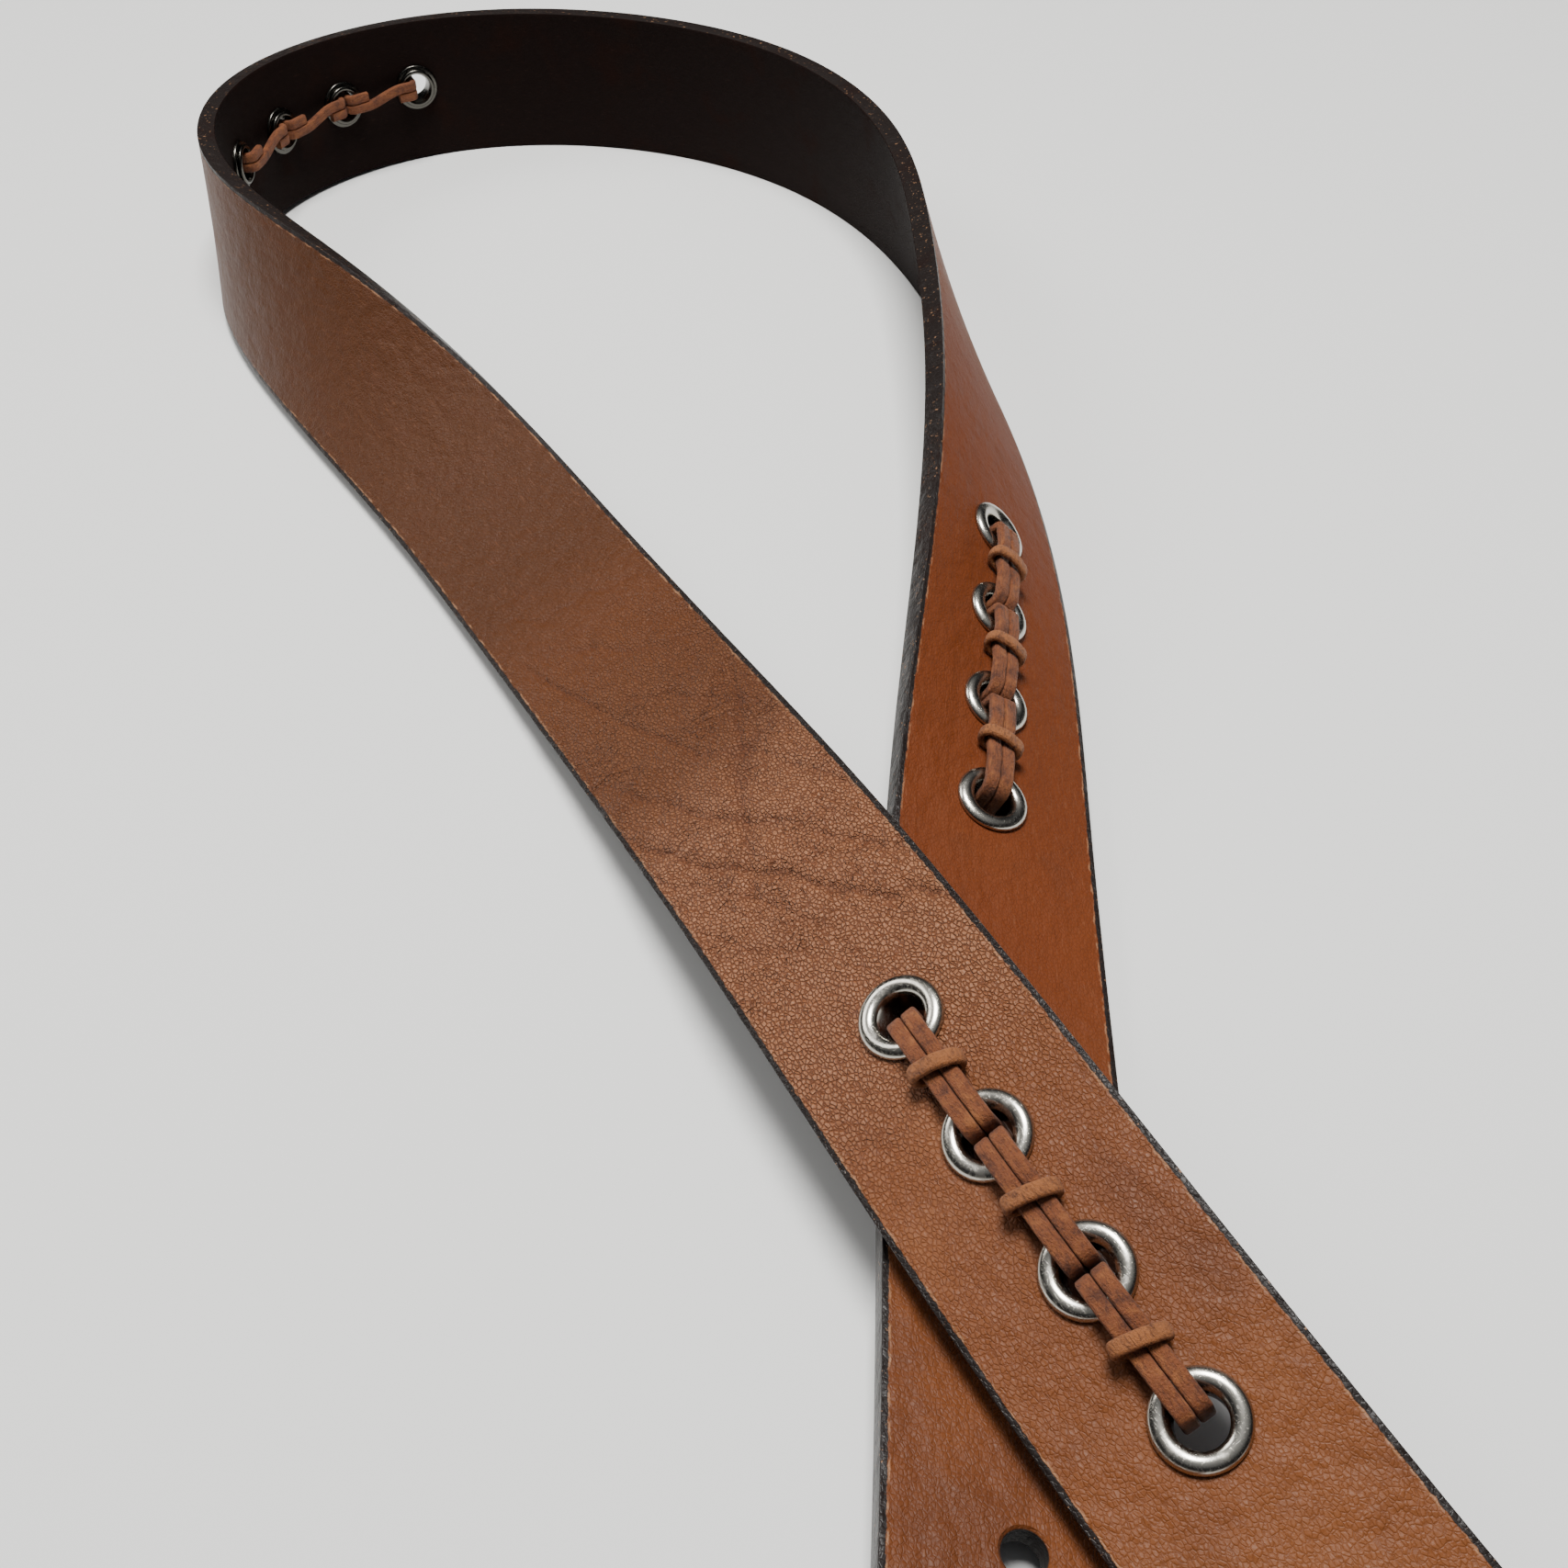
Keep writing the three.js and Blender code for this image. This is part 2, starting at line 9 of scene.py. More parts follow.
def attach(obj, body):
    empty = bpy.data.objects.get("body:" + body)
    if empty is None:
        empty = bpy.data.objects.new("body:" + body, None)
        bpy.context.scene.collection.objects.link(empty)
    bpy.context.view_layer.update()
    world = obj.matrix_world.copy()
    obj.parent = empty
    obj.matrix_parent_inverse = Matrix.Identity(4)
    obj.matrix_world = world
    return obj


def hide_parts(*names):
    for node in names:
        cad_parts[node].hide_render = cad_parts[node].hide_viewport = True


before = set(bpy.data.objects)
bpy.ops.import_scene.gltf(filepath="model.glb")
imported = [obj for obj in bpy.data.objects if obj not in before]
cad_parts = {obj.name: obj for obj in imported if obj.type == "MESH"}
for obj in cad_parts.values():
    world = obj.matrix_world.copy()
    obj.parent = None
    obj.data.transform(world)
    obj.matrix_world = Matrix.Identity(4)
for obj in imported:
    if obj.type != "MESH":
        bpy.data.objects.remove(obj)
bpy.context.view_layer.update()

# A laced leather belt. Sizes are in millimetres, and MM makes them metres.
# Every piece on the strap is modelled flat first, as it is cut and laced on a bench:
# x runs along the strap from the buckle, y across it towards the edge that stays down,
# and z is the height above the strap's middle, positive on the smooth grain face.
# lay_on_route then bends it along the way the belt lies.

MM = 0.001

# ---------------------------------------------------------------- sizes

STRAP_WIDTH = 32
STRAP_THICKNESS = 3.7
GRAIN = STRAP_THICKNESS / 2
HALF_WIDTH = STRAP_WIDTH / 2
EDGE_ROUND = 0.75
CELL = 1.25
TIP_AT = 1190
TIP_TAPER = 26
TIP_NOSE = 6

BAR_AT = 10
BAR_RADIUS = 1.8
BAR_DEPTH = -3.95
FOLD_THICKNESS = 2.2
FOLD_BEND = 3.2
SKIVE_AT = 26
FOLD_END = 68
TAB_MIDDLE = -3.15
SLOT_WIDTH = 6.2
SLOT_CUT = 14

HOLE_RADIUS = 2.7
HOLE_PITCH = 25.4
HOLES_AT = [999.5 + HOLE_PITCH * i for i in range(5)]

MOTIFS = {"front": 145, "left": 498.5, "right": 829}
EYELET_PITCH = 19.5
EYELETS = 4
ROW = -0.9
EYELET_BORE = 3.15
EYELET_BARREL = 3.5
EYELET_RIM = 5.7
EYELET_CROWN = 3.2
WASHER_TOP = -2.05
WASHER_FOOT = -2.55

LACE_WIDTH = 2.12
LACE_THICKNESS = 1.5
LACE_APART = 1.1
LACE_LEG = 0.95
LACE_TOP = 4.15
LACE_FOOT = -4.4
WRAP_WIDTH = 2.05
WRAP_THICKNESS = 1.15
WRAP_SIDE = 3.05
WRAP_TOP = 5.62
WRAP_FOOT = 2.65
WRAP_LEAN = math.radians(15)

FRAME_REACH = 36
FRAME_SECTION = 5
FRAME_THICKNESS = 4
FRAME_INNER = HALF_WIDTH + 1.5
FRAME_CORNER = 8
FRAME_ROUND = 1.5
FRAME_PAST_BAR = 12
FRAME_EYE = 2.6
FRAME_DROP = math.radians(5.5)

PRONG_WIDTH = 4.4
PRONG_EYE = 2.85
PRONG_WALL = 1.5
PRONG_POINT = -33

KEEPER_AT = 36
KEEPER_LENGTH = 10
KEEPER_THICKNESS = 2.2
KEEPER_SIDE = HALF_WIDTH + 0.8
KEEPER_ROOF = 7.45
KEEPER_FOOT = -4.85
KEEPER_CORNER = 2.6

SCREW_AT = 54
SCREW_SPREAD = 8.5
SCREW_SHANK = 2.2
SCREW_RIM = 4
SCREW_DOME = 1.3
SCREW_SLOT = (0.9, 1.5)
TAB_FOOT = -4.25

# The stretch that use has creased, its ripples and its creases. Each crease has its place on the
# middle line, its slant, its bow, its depth, its half width, and the stretch across the strap
# that it covers.
CREASED = (206, 322)
CREASE_DEEPEST = 0.26
RIPPLE_SIZE = 6
RIPPLE_HEIGHT = 0.85
CREASES = [
    (317, 0.5, 0.02, 0.08, 1.1, -13, 11),
    (302, 1.05, 0, 0.1, 1.4, -15, 5),
    (285.5, 1.3, 0, 0.1, 1.3, -12, 4),
    (275, 2.3, 0, 0.15, 1.1, -16, -7),
    (270, 2.2, 0.12, 0.17, 1.3, -12, 12),
    (248.5, 1.7, 0.01, 0.2, 1.3, -16, 13),
    (247.5, -2.25, 0, 0.2, 1.6, -13, 6),
    (233.5, 1.55, 0.015, 0.26, 1.2, -16, 16),
    (224.5, 1.75, 0, 0.15, 1.1, -1, 16),
    (214, 1.5, 0, 0.09, 1.1, 2, 16),
]

# The way the belt lies, as the control points of one smooth cubic curve:
# x, y, height, and the lean of the strap in degrees (0 lies flat, 90 stands on edge).
ROUTE = [
    (87.5, -131, 11, 0),
    (87.5, -82, 9, 0),
    (87.5, -34.5, 7, 0),
    (87.5, 11.5, 5, 12),
    (87.5, 57, 13.5, 23),
    (88.5, 103, 22.5, 28),
    (94.5, 149.5, 20.5, 26),
    (101, 195.5, 12, 25),
    (105.5, 242, 7.5, 23),
    (107.5, 289, 9.5, 30),
    (102, 335, 16, 60),
    (97.5, 383.5, 18, 86),
    (123.5, 425.5, 17, 96),
    (173, 432, 16, 94),
    (214, 402.5, 16, 90),
    (235, 358.5, 16, 90),
    (231.5, 311.5, 16, 84),
    (210.5, 268.5, 16.5, 71),
    (187.5, 227.5, 17.5, 58),
    (161, 189.5, 15, 42),
    (131, 153, 8, 23),
    (103.5, 115.5, 4.5, 11),
    (76.5, 77.5, 5.5, 13),
    (48, 40, 5.5, 13),
    (19.5, 2.5, 3, 5),
    (-8.5, -35, 2, 0),
    (-36.5, -72.5, 2, 0),
    (-64.5, -110.5, 2, 0),
    (-92.5, -148.5, 2, 0),
]
# The middle of the whole belt's box, on the surface that it lies on, in the same measure.
ROUTE_ORIGIN = (91.4406, 162.15, -0.0762)

# ---------------------------------------------------------------- camera, floor and light

CAMERA_HEIGHT = 205.08
CAMERA_HEADING = -32
CAMERA_PITCH = 43.285
CAMERA_ROLL = 2.122
CAMERA_LENS = 43.36
FLOOR_SIZE = 14


def turn(degrees, axis):
    return Matrix.Rotation(math.radians(degrees), 4, axis)


def make_camera():
    camera = bpy.data.objects.new("camera", bpy.data.cameras.new("camera"))
    bpy.context.scene.collection.objects.link(camera)
    camera.data.lens = CAMERA_LENS
    camera.data.sensor_width = 36
    camera.data.clip_start = 0.01
    camera.data.clip_end = 50
    place = Vector((-ROUTE_ORIGIN[0], -ROUTE_ORIGIN[1], CAMERA_HEIGHT)) * MM
    aim = turn(CAMERA_HEADING, "Z") @ turn(90 - CAMERA_PITCH, "X") @ turn(-CAMERA_ROLL, "Z")
    camera.matrix_world = Matrix.Translation(place) @ aim
    bpy.context.scene.camera = camera


def softbox(name, place, width, height, power, colour):
    """A rectangular light at a place in metres, turned towards the belt's middle."""
    data = bpy.data.lights.new(name, "AREA")
    data.shape = "RECTANGLE"
    data.size = width
    data.size_y = height
    data.energy = power
    data.color = colour
    light = bpy.data.objects.new(name, data)
    bpy.context.scene.collection.objects.link(light)
    light.location = place
    light.rotation_euler = (-Vector(place)).to_track_quat("-Z", "Y").to_euler()


def make_lights():
    softbox("window", (-0.5, 1.0, 0.9), 0.6, 0.5, 6, (1, 0.985, 0.96))
    softbox("ceiling", (0.06, 0.1, 1.1), 0.4, 0.4, 21.5, (1, 0.99, 0.97))
    world = bpy.data.worlds.new("room")
    bpy.context.scene.world = world
    world.use_nodes = True
    nodes = world.node_tree.nodes
    links = world.node_tree.links
    place = nodes.new("ShaderNodeTexCoord")
    split = nodes.new("ShaderNodeSeparateXYZ")
    sky = nodes.new("ShaderNodeValToRGB")
    sky.color_ramp.elements[0].position = 0.5
    sky.color_ramp.elements[0].color = (0.05, 0.05, 0.055, 1)
    sky.color_ramp.elements[1].position = 0.95
    sky.color_ramp.elements[1].color = (0.85, 0.87, 0.9, 1)
    links.new(place.outputs["Generated"], split.inputs[0])
    links.new(split.outputs["Z"], sky.inputs["Fac"])
    links.new(sky.outputs["Color"], nodes["Background"].inputs["Color"])
    nodes["Background"].inputs["Strength"].default_value = 0.4


# ---------------------------------------------------------------- modelling helpers

def select_only(piece):
    bpy.ops.object.select_all(action="DESELECT")
    piece.select_set(True)
    bpy.context.view_layer.objects.active = piece


def finish_with(piece, kind, **settings):
    """Adds a modifier, gives it its settings and applies it."""
    select_only(piece)
    modifier = piece.modifiers.new(kind.title(), kind)
    for name, value in settings.items():
        setattr(modifier, name, value)
    bpy.ops.object.modifier_apply(modifier=modifier.name)


def place_in_mesh(piece):
    select_only(piece)
    bpy.ops.object.transform_apply(location=True, rotation=True, scale=True)


def select_faces(piece, test):
    """In edit mode, selects the faces whose middle passes a test."""
    bpy.ops.mesh.select_mode(type="FACE")
    bpy.ops.mesh.select_all(action="DESELECT")
    net = bmesh.from_edit_mesh(piece.data)
    for face in net.faces:
        face.select_set(test(face.calc_center_median() / MM))
    bmesh.update_edit_mesh(piece.data)


def select_edges(piece, test):
    """In edit mode, selects the edges whose two ends both pass a test."""
    bpy.ops.mesh.select_mode(type="EDGE")
    bpy.ops.mesh.select_all(action="DESELECT")
    net = bmesh.from_edit_mesh(piece.data)
    for edge in net.edges:
        edge.select_set(all(test(vert.co / MM) for vert in edge.verts))
    bmesh.update_edit_mesh(piece.data)


def close_up(piece):
    """Merges seams, turns the faces outwards and leaves edit mode."""
    select_whole()
    bpy.ops.mesh.remove_doubles(threshold=0.002 * MM)
    bpy.ops.mesh.normals_make_consistent(inside=False)
    bpy.ops.object.mode_set(mode="OBJECT")


def draw_out(x=0, z=0):
    """In edit mode, extrudes the selection by so many millimetres."""
    bpy.ops.mesh.extrude_region_move(TRANSFORM_OT_translate={"value": (x * MM, 0, z * MM)})


def select_whole():
    bpy.ops.mesh.select_all(action="SELECT")


def cap_ends(piece):
    """Fills every open end of a tube."""
    select_only(piece)
    bpy.ops.object.mode_set(mode="EDIT")
    bpy.ops.mesh.select_mode(type="EDGE")
    bpy.ops.mesh.select_all(action="DESELECT")
    bpy.ops.mesh.select_non_manifold()
    bpy.ops.mesh.edge_face_add()
    close_up(piece)


def copy_of(piece, name):
    twin = piece.copy()
    twin.data = piece.data.copy()
    twin.name = name
    twin.data.name = name
    bpy.context.scene.collection.objects.link(twin)
    return twin


def shift(piece, x=0, y=0, z=0):
    piece.data.transform(Matrix.Translation(Vector((x, y, z)) * MM))


def turned(name, profile, sides):
    """A ring or disc, raised circle by circle through a profile of (radius, height)."""
    radius, height = profile[0]
    bpy.ops.object.select_all(action="DESELECT")
    bpy.ops.mesh.primitive_circle_add(
        vertices=sides, radius=radius * MM, location=(0, 0, height * MM))
    piece = bpy.context.object
    piece.name = name
    place_in_mesh(piece)
    bpy.ops.object.mode_set(mode="EDIT")
    bpy.ops.mesh.select_mode(type="EDGE")
    select_whole()
    for (r0, z0), (r1, z1) in zip(profile, profile[1:]):
        draw_out(z=z1 - z0)
        bpy.ops.transform.resize(
            value=(r1 / r0, r1 / r0, 1), center_override=(0, 0, z1 * MM))
    close_up(piece)
    return piece


def block(middle, size):
    """A box to cut with, from its middle and its size along each axis."""
    bpy.ops.object.select_all(action="DESELECT")
    bpy.ops.mesh.primitive_cube_add(size=1, location=[part * MM for part in middle])
    piece = bpy.context.object
    piece.scale = [part * MM for part in size]
    place_in_mesh(piece)
    return piece


def use_tool(piece, tool, operation="DIFFERENCE"):
    """Cuts a tool out of a piece, or joins it on, and takes the tool away."""
    finish_with(piece, "BOOLEAN", object=tool, operation=operation, solver="EXACT")
    bpy.data.objects.remove(tool)


def arc(middle, radii, start, end, steps):
    """Points on an ellipse's arc, from one angle in degrees to another."""
    angles = [math.radians(start + (end - start) * i / steps) for i in range(steps + 1)]
    return [(middle[0] + radii[0] * math.cos(a), middle[1] + radii[1] * math.sin(a)) for a in angles]


def smooth(t):
    return t * t * (3 - 2 * t)


def keep_flat_place(piece, place=None):
    """Stores where each point sits on the flat pattern, so that a finish follows the leather."""
    if place is None:
        place = np.zeros(len(piece.data.vertices) * 3, np.float32)
        piece.data.vertices.foreach_get("co", place)
    layer = piece.data.attributes.new("flat", "FLOAT_VECTOR", "POINT")
    layer.data.foreach_set("vector", np.asarray(place, np.float32).ravel())


def make_route():
    """The helper curve that bends the flat pieces. It is taken away at the end."""
    data = bpy.data.curves.new("route", "CURVE")
    data.dimensions = "3D"
    data.twist_mode = "Z_UP"
    data.resolution_u = 24
    spline = data.splines.new("NURBS")
    spline.points.add(len(ROUTE) - 1)
    for point, (x, y, z, lean) in zip(spline.points, ROUTE):
        point.co = (*(Vector((x, y, z)) - Vector(ROUTE_ORIGIN)) * MM, 1)
        point.tilt = -math.radians(lean)
    spline.order_u = 4
    spline.use_endpoint_u = False
    spline.resolution_u = 24
    route = bpy.data.objects.new("route", data)
    bpy.context.scene.collection.objects.link(route)
    return route


def lay_on_route(piece, round_angle):
    finish_with(piece, "CURVE", object=ROUTE_CURVE, deform_axis="POS_X")
    select_only(piece)
    bpy.ops.object.shade_smooth_by_angle(angle=math.radians(round_angle))


def fit_piece(piece, node, body, material):
    """Puts a finished piece in the place of its CAD node."""
    piece.data.materials.clear()
    piece.data.materials.append(material)
    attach(piece, body)
    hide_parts(node)


def settle(piece, node, body, material, round_angle=40):
    """Takes a piece from the flat pattern to its place on the belt."""
    keep_flat_place(piece)
    lay_on_route(piece, round_angle)
    fit_piece(piece, node, body, material)


def swept(name, path, section):
    """A strip with a rounded section, swept along a smooth path of points in millimetres."""
    edge = bpy.data.curves.new(name + "_section", "CURVE")
    edge.dimensions = "2D"
    loop = edge.splines.new("POLY")
    loop.points.add(len(section) - 1)
    for point, (across, thick) in zip(loop.points, section):
        point.co = (across * MM, thick * MM, 0, 1)
    loop.use_cyclic_u = True
    edge_object = bpy.data.objects.new(name + "_section", edge)
    bpy.context.scene.collection.objects.link(edge_object)
    data = bpy.data.curves.new(name, "CURVE")
    data.dimensions = "3D"
    data.twist_mode = "MINIMUM"
    data.bevel_mode = "OBJECT"
    data.bevel_object = edge_object
    data.use_fill_caps = True
    spline = data.splines.new("POLY")
    spline.points.add(len(path) - 1)
    for point, place in zip(spline.points, path):
        point.co = (*Vector(place) * MM, 1)
    piece = bpy.data.objects.new(name, data)
    bpy.context.scene.collection.objects.link(piece)
    select_only(piece)
    bpy.ops.object.convert(target="MESH")
    bpy.data.objects.remove(edge_object)
    bpy.ops.object.mode_set(mode="EDIT")
    close_up(piece)
    return piece


def rounded_section(width, thickness, corner, steps=3):
    """A rounded rectangle as a closed list of points, width first."""
    w, t = width / 2 - corner, thickness / 2 - corner
    corners = [((w, t), 0), ((-w, t), 90), ((-w, -t), 180), ((w, -t), 270)]
    return [point for middle, start in corners
            for point in arc(middle, (corner, corner), start, start + 90, steps)]


# ---------------------------------------------------------------- strap

def fold_path():
    """The middle of the thinned end, down round the buckle bar and back along the underside."""
    skive = [(SKIVE_AT + (BAR_AT - SKIVE_AT) * i / 10, (BAR_DEPTH + FOLD_BEND) * smooth(i / 10))
             for i in range(11)]
    bend = arc((BAR_AT, BAR_DEPTH), (FOLD_BEND, FOLD_BEND), 90, 270, 14)
    low = BAR_DEPTH - FOLD_BEND
    rise = [(BAR_AT + (SKIVE_AT - BAR_AT) * i / 10, low + (TAB_MIDDLE - low) * smooth(i / 10))
            for i in range(11)]
    steps = round((FOLD_END - SKIVE_AT) / (1.5 * CELL))
    tab = [(SKIVE_AT + (FOLD_END - SKIVE_AT) * i / steps, TAB_MIDDLE) for i in range(1, steps + 1)]
    return skive + bend[1:] + rise[1:] + tab


def tip_outline(steps=22):
    """Half widths of the tapered tip, as (distance, half width)."""
    nose = TIP_NOSE / 2
    points = []
    for i in range(steps + 1):
        t = i / steps
        x = (1 - t) ** 2 * -TIP_TAPER + 2 * t * (1 - t) * -TIP_TAPER / 3
        y = ((1 - t) ** 2 + 2 * t * (1 - t)) * HALF_WIDTH + t * t * nose
        points.append((TIP_AT + x, y))
    return points


def strap_sheet():
    """The strap's middle surface: a long grid with its tip and its folded end drawn out."""
    length = TIP_AT - TIP_TAPER - SKIVE_AT
    columns = round(length / CELL)
    rows = round(STRAP_WIDTH / CELL)
    bpy.ops.object.select_all(action="DESELECT")
    bpy.ops.mesh.primitive_grid_add(
        x_subdivisions=columns, y_subdivisions=rows, size=1,
        location=((SKIVE_AT + length / 2) * MM, 0, 0))
    sheet = bpy.context.object
    sheet.scale = (length * MM, STRAP_WIDTH * MM, 1)
    place_in_mesh(sheet)
    bpy.ops.object.mode_set(mode="EDIT")
    select_faces(sheet, lambda p: CREASED[0] < p.x < CREASED[1])
    bpy.ops.mesh.subdivide(number_cuts=1)
    select_edges(sheet, lambda p: p.x > TIP_AT - TIP_TAPER - 0.01)
    outline = tip_outline()
    for (x0, y0), (x1, y1) in zip(outline, outline[1:]):
        draw_out(x1 - x0)
        bpy.ops.transform.resize(value=(1, y1 / y0, 1), center_override=(x1 * MM, 0, 0))
    select_edges(sheet, lambda p: p.x < SKIVE_AT + 0.01)
    fold = fold_path()
    for (x0, z0), (x1, z1) in zip(fold, fold[1:]):
        draw_out(x1 - x0, z1 - z0)
    close_up(sheet)
    return sheet


def strap_thickness(sheet):
    """Weights 1 where the leather is full and 0 where it is thinned for the fold."""
    group = sheet.vertex_groups.new(name="full")
    for vert in sheet.data.vertices:
        x, z = vert.co.x / MM, vert.co.z / MM
        on_top = z > BAR_DEPTH + FOLD_BEND - 0.01 and x > BAR_AT - 0.01
        weight = smooth(min((x - BAR_AT) / (SKIVE_AT - BAR_AT), 1)) if on_top else 0
        group.add([vert.index], max(weight, 0), "REPLACE")


def unfolded(points):
    """Flat-pattern places of points on the strap, with the folded end laid out straight."""
    x, y, z = (points / MM).T
    u, h = x.copy(), z.copy()
    folded = (x < SKIVE_AT) | (z < -GRAIN - 0.05)
    path = np.array(fold_path())
    step = np.diff(path, axis=0)
    length = np.linalg.norm(step, axis=1)
    walked = np.concatenate(([0], np.cumsum(length)))
    px, pz = x[folded][:, None], z[folded][:, None]
    along = ((px - path[:-1, 0]) * step[:, 0] + (pz - path[:-1, 1]) * step[:, 1]) / length ** 2
    along = np.clip(along, 0, 1)
    dx = px - path[:-1, 0] - along * step[:, 0]
    dz = pz - path[:-1, 1] - along * step[:, 1]
    nearest = np.argmin(dx ** 2 + dz ** 2, axis=1)
    pick = np.arange(len(nearest)), nearest
    direction = (step / length[:, None])[nearest]
    side = dx[pick] * direction[:, 1] - dz[pick] * direction[:, 0]
    full = FOLD_THICKNESS / 2
    u[folded] = SKIVE_AT - walked[nearest] - along[pick] * length[nearest]
    h[folded] = np.clip(side / full, -1, 1) * GRAIN
    return np.stack((u, y, h), axis=1) * MM


def strap_cutters():
    """One object that holds every punch: eyelets, prong holes, screw holes and the prong's slot."""
    top, foot = GRAIN + 1, -GRAIN - 1
    lip = 0.35
    punch = [(HOLE_RADIUS + lip + 1, foot), (HOLE_RADIUS, -GRAIN + lip), (HOLE_RADIUS, GRAIN - lip),
             (HOLE_RADIUS + lip + 1, top)]
    tools = []
    for x in HOLES_AT:
        tools.append((turned("punch", punch, 40), x, 0))
    sleeve = EYELET_BARREL + 0.2
    for start in MOTIFS.values():
        for i in range(EYELETS):
            tube = turned("punch", [(sleeve, foot), (sleeve, top)], 40)
            tools.append((tube, start + i * EYELET_PITCH, ROW))
    for side in (-1, 1):
        tube = turned("punch", [(SCREW_SHANK + 0.2, TAB_FOOT - 1), (SCREW_SHANK + 0.2, top)], 32)
        tools.append((tube, SCREW_AT, side * SCREW_SPREAD))
    for tool, x, y in tools:
        shift(tool, x, y)
        cap_ends(tool)
    slot_length = SKIVE_AT - BAR_AT + 2 * SLOT_WIDTH
    slot = block((SKIVE_AT - slot_length / 2, 0, BAR_DEPTH), (slot_length, SLOT_WIDTH, SLOT_CUT))
    finish_with(slot, "BEVEL", width=(SLOT_WIDTH / 2 - 0.02) * MM, segments=8, affect="EDGES",
                limit_method="ANGLE")
    select_only(slot)
    for tool, _, _ in tools:
        tool.select_set(True)
    bpy.ops.object.join()
    return slot


def work_creases(strap):
    """Sinks each crease into the leather with a soft lip beside it, and marks it for the finish."""
    flat = np.zeros(len(strap.data.vertices) * 3, np.float32)
    strap.data.attributes["flat"].data.foreach_get("vector", flat)
    x, y, _ = flat.reshape(-1, 3).T / MM
    lift = np.zeros_like(x)
    mark = np.zeros_like(x)
    for place, slant, bow, depth, width, start, end in CREASES:
        wander = 1.1 * np.sin(0.42 * y + place) + 0.6 * np.sin(1.1 * y + 2 * place)
        away = (x - place - slant * y - bow * y * y - wander) / math.hypot(1, slant)
        reach = np.clip(np.minimum(y - start, end - y) / 3 + 0.5, 0, 1)
        lift -= reach * depth * np.exp(-(away / width) ** 2)
        lift += reach * 0.6 * depth * np.exp(-((away - 2.4 * width) / (1.7 * width)) ** 2)
        mark += reach * depth / CREASE_DEEPEST * np.exp(-(away / (0.5 * width)) ** 2)
    points = np.zeros_like(flat)
    strap.data.vertices.foreach_get("co", points)
    points[2::3] += lift * MM
    strap.data.vertices.foreach_set("co", points)
    layer = strap.data.attributes.new("crease", "FLOAT", "POINT")
    layer.data.foreach_set("value", np.clip(mark, 0, 1).astype(np.float32))


def buckle_leather(strap):
    """Lifts and sinks the leather a little where it has been bent often."""
    group = strap.vertex_groups.new(name="creased")
    start, end = CREASED
    rise, fall = 12, 25
    for vert in strap.data.vertices:
        x = vert.co.x / MM
        ramp = min((x - start) / rise, (end - x) / fall, 1)
        group.add([vert.index], smooth(max(ramp, 0)), "REPLACE")
    ripple = bpy.data.textures.new("ripple", "CLOUDS")
    ripple.noise_scale = RIPPLE_SIZE * MM
    ripple.noise_depth = 2
    finish_with(strap, "DISPLACE", texture=ripple, texture_coords="LOCAL", direction="Z",
                strength=RIPPLE_HEIGHT * MM, mid_level=0.5, vertex_group="creased")


def line_with_flesh(strap, flesh):
    """Gives the back of the leather its own rough finish."""
    strap.data.materials.append(flesh)
    flat = strap.data.attributes["flat"].data
    for face in strap.data.polygons:
        height = sum(flat[i].vector.z for i in face.vertices) / len(face.vertices)
        face.material_index = 1 if height < -0.85 * GRAIN * MM else 0


def make_strap(material, flesh):
    strap = strap_sheet()
    strap.name = "belt_strap"
    strap_thickness(strap)
    finish_with(strap, "SOLIDIFY", thickness=STRAP_THICKNESS * MM, offset=0, use_even_offset=True,
                vertex_group="full", thickness_vertex_group=FOLD_THICKNESS / STRAP_THICKNESS)
    finish_with(strap, "BEVEL", width=EDGE_ROUND * MM, segments=3, limit_method="ANGLE",
                angle_limit=math.radians(60))
    use_tool(strap, strap_cutters())
    points = np.array([vert.co[:] for vert in strap.data.vertices])
    keep_flat_place(strap, unfolded(points))
    work_creases(strap)
    buckle_leather(strap)
    lay_on_route(strap, 40)
    fit_piece(strap, "strap", "strap", material)
    line_with_flesh(strap, flesh)


# ---------------------------------------------------------------- eyelets and washers

def eyelet_pattern():
    reach = (EYELET_RIM - EYELET_BORE) / 2
    crown_middle = (EYELET_BORE + reach, GRAIN + 0.35)
    dome = arc(crown_middle, (reach, EYELET_CROWN - crown_middle[1]), 180, 0, 22)
    foot = [(EYELET_RIM - 0.12, GRAIN + 0.12), (EYELET_RIM - 0.4, GRAIN + 0.04),
            (EYELET_BARREL + 0.3, GRAIN + 0.04), (EYELET_BARREL, GRAIN - 0.3),
            (EYELET_BARREL, WASHER_FOOT - 0.25)]
    roll = arc((EYELET_BARREL + 0.32, WASHER_FOOT - 0.5), (0.55, 0.38), 60, -120, 8)
    return turned("eyelet", dome + foot + roll + [(EYELET_BORE, WASHER_FOOT), dome[0]], 72)


def washer_pattern():
    inner, outer = EYELET_BARREL + 0.1, 5.2
    top, foot = WASHER_TOP + 0.15, WASHER_FOOT
    profile = [(inner, foot), (outer - 0.3, foot), (outer - 0.08, foot + 0.1), (outer, foot + 0.25),
               (outer, top), (inner, top), (inner, foot)]
    return turned("washer", profile, 64)


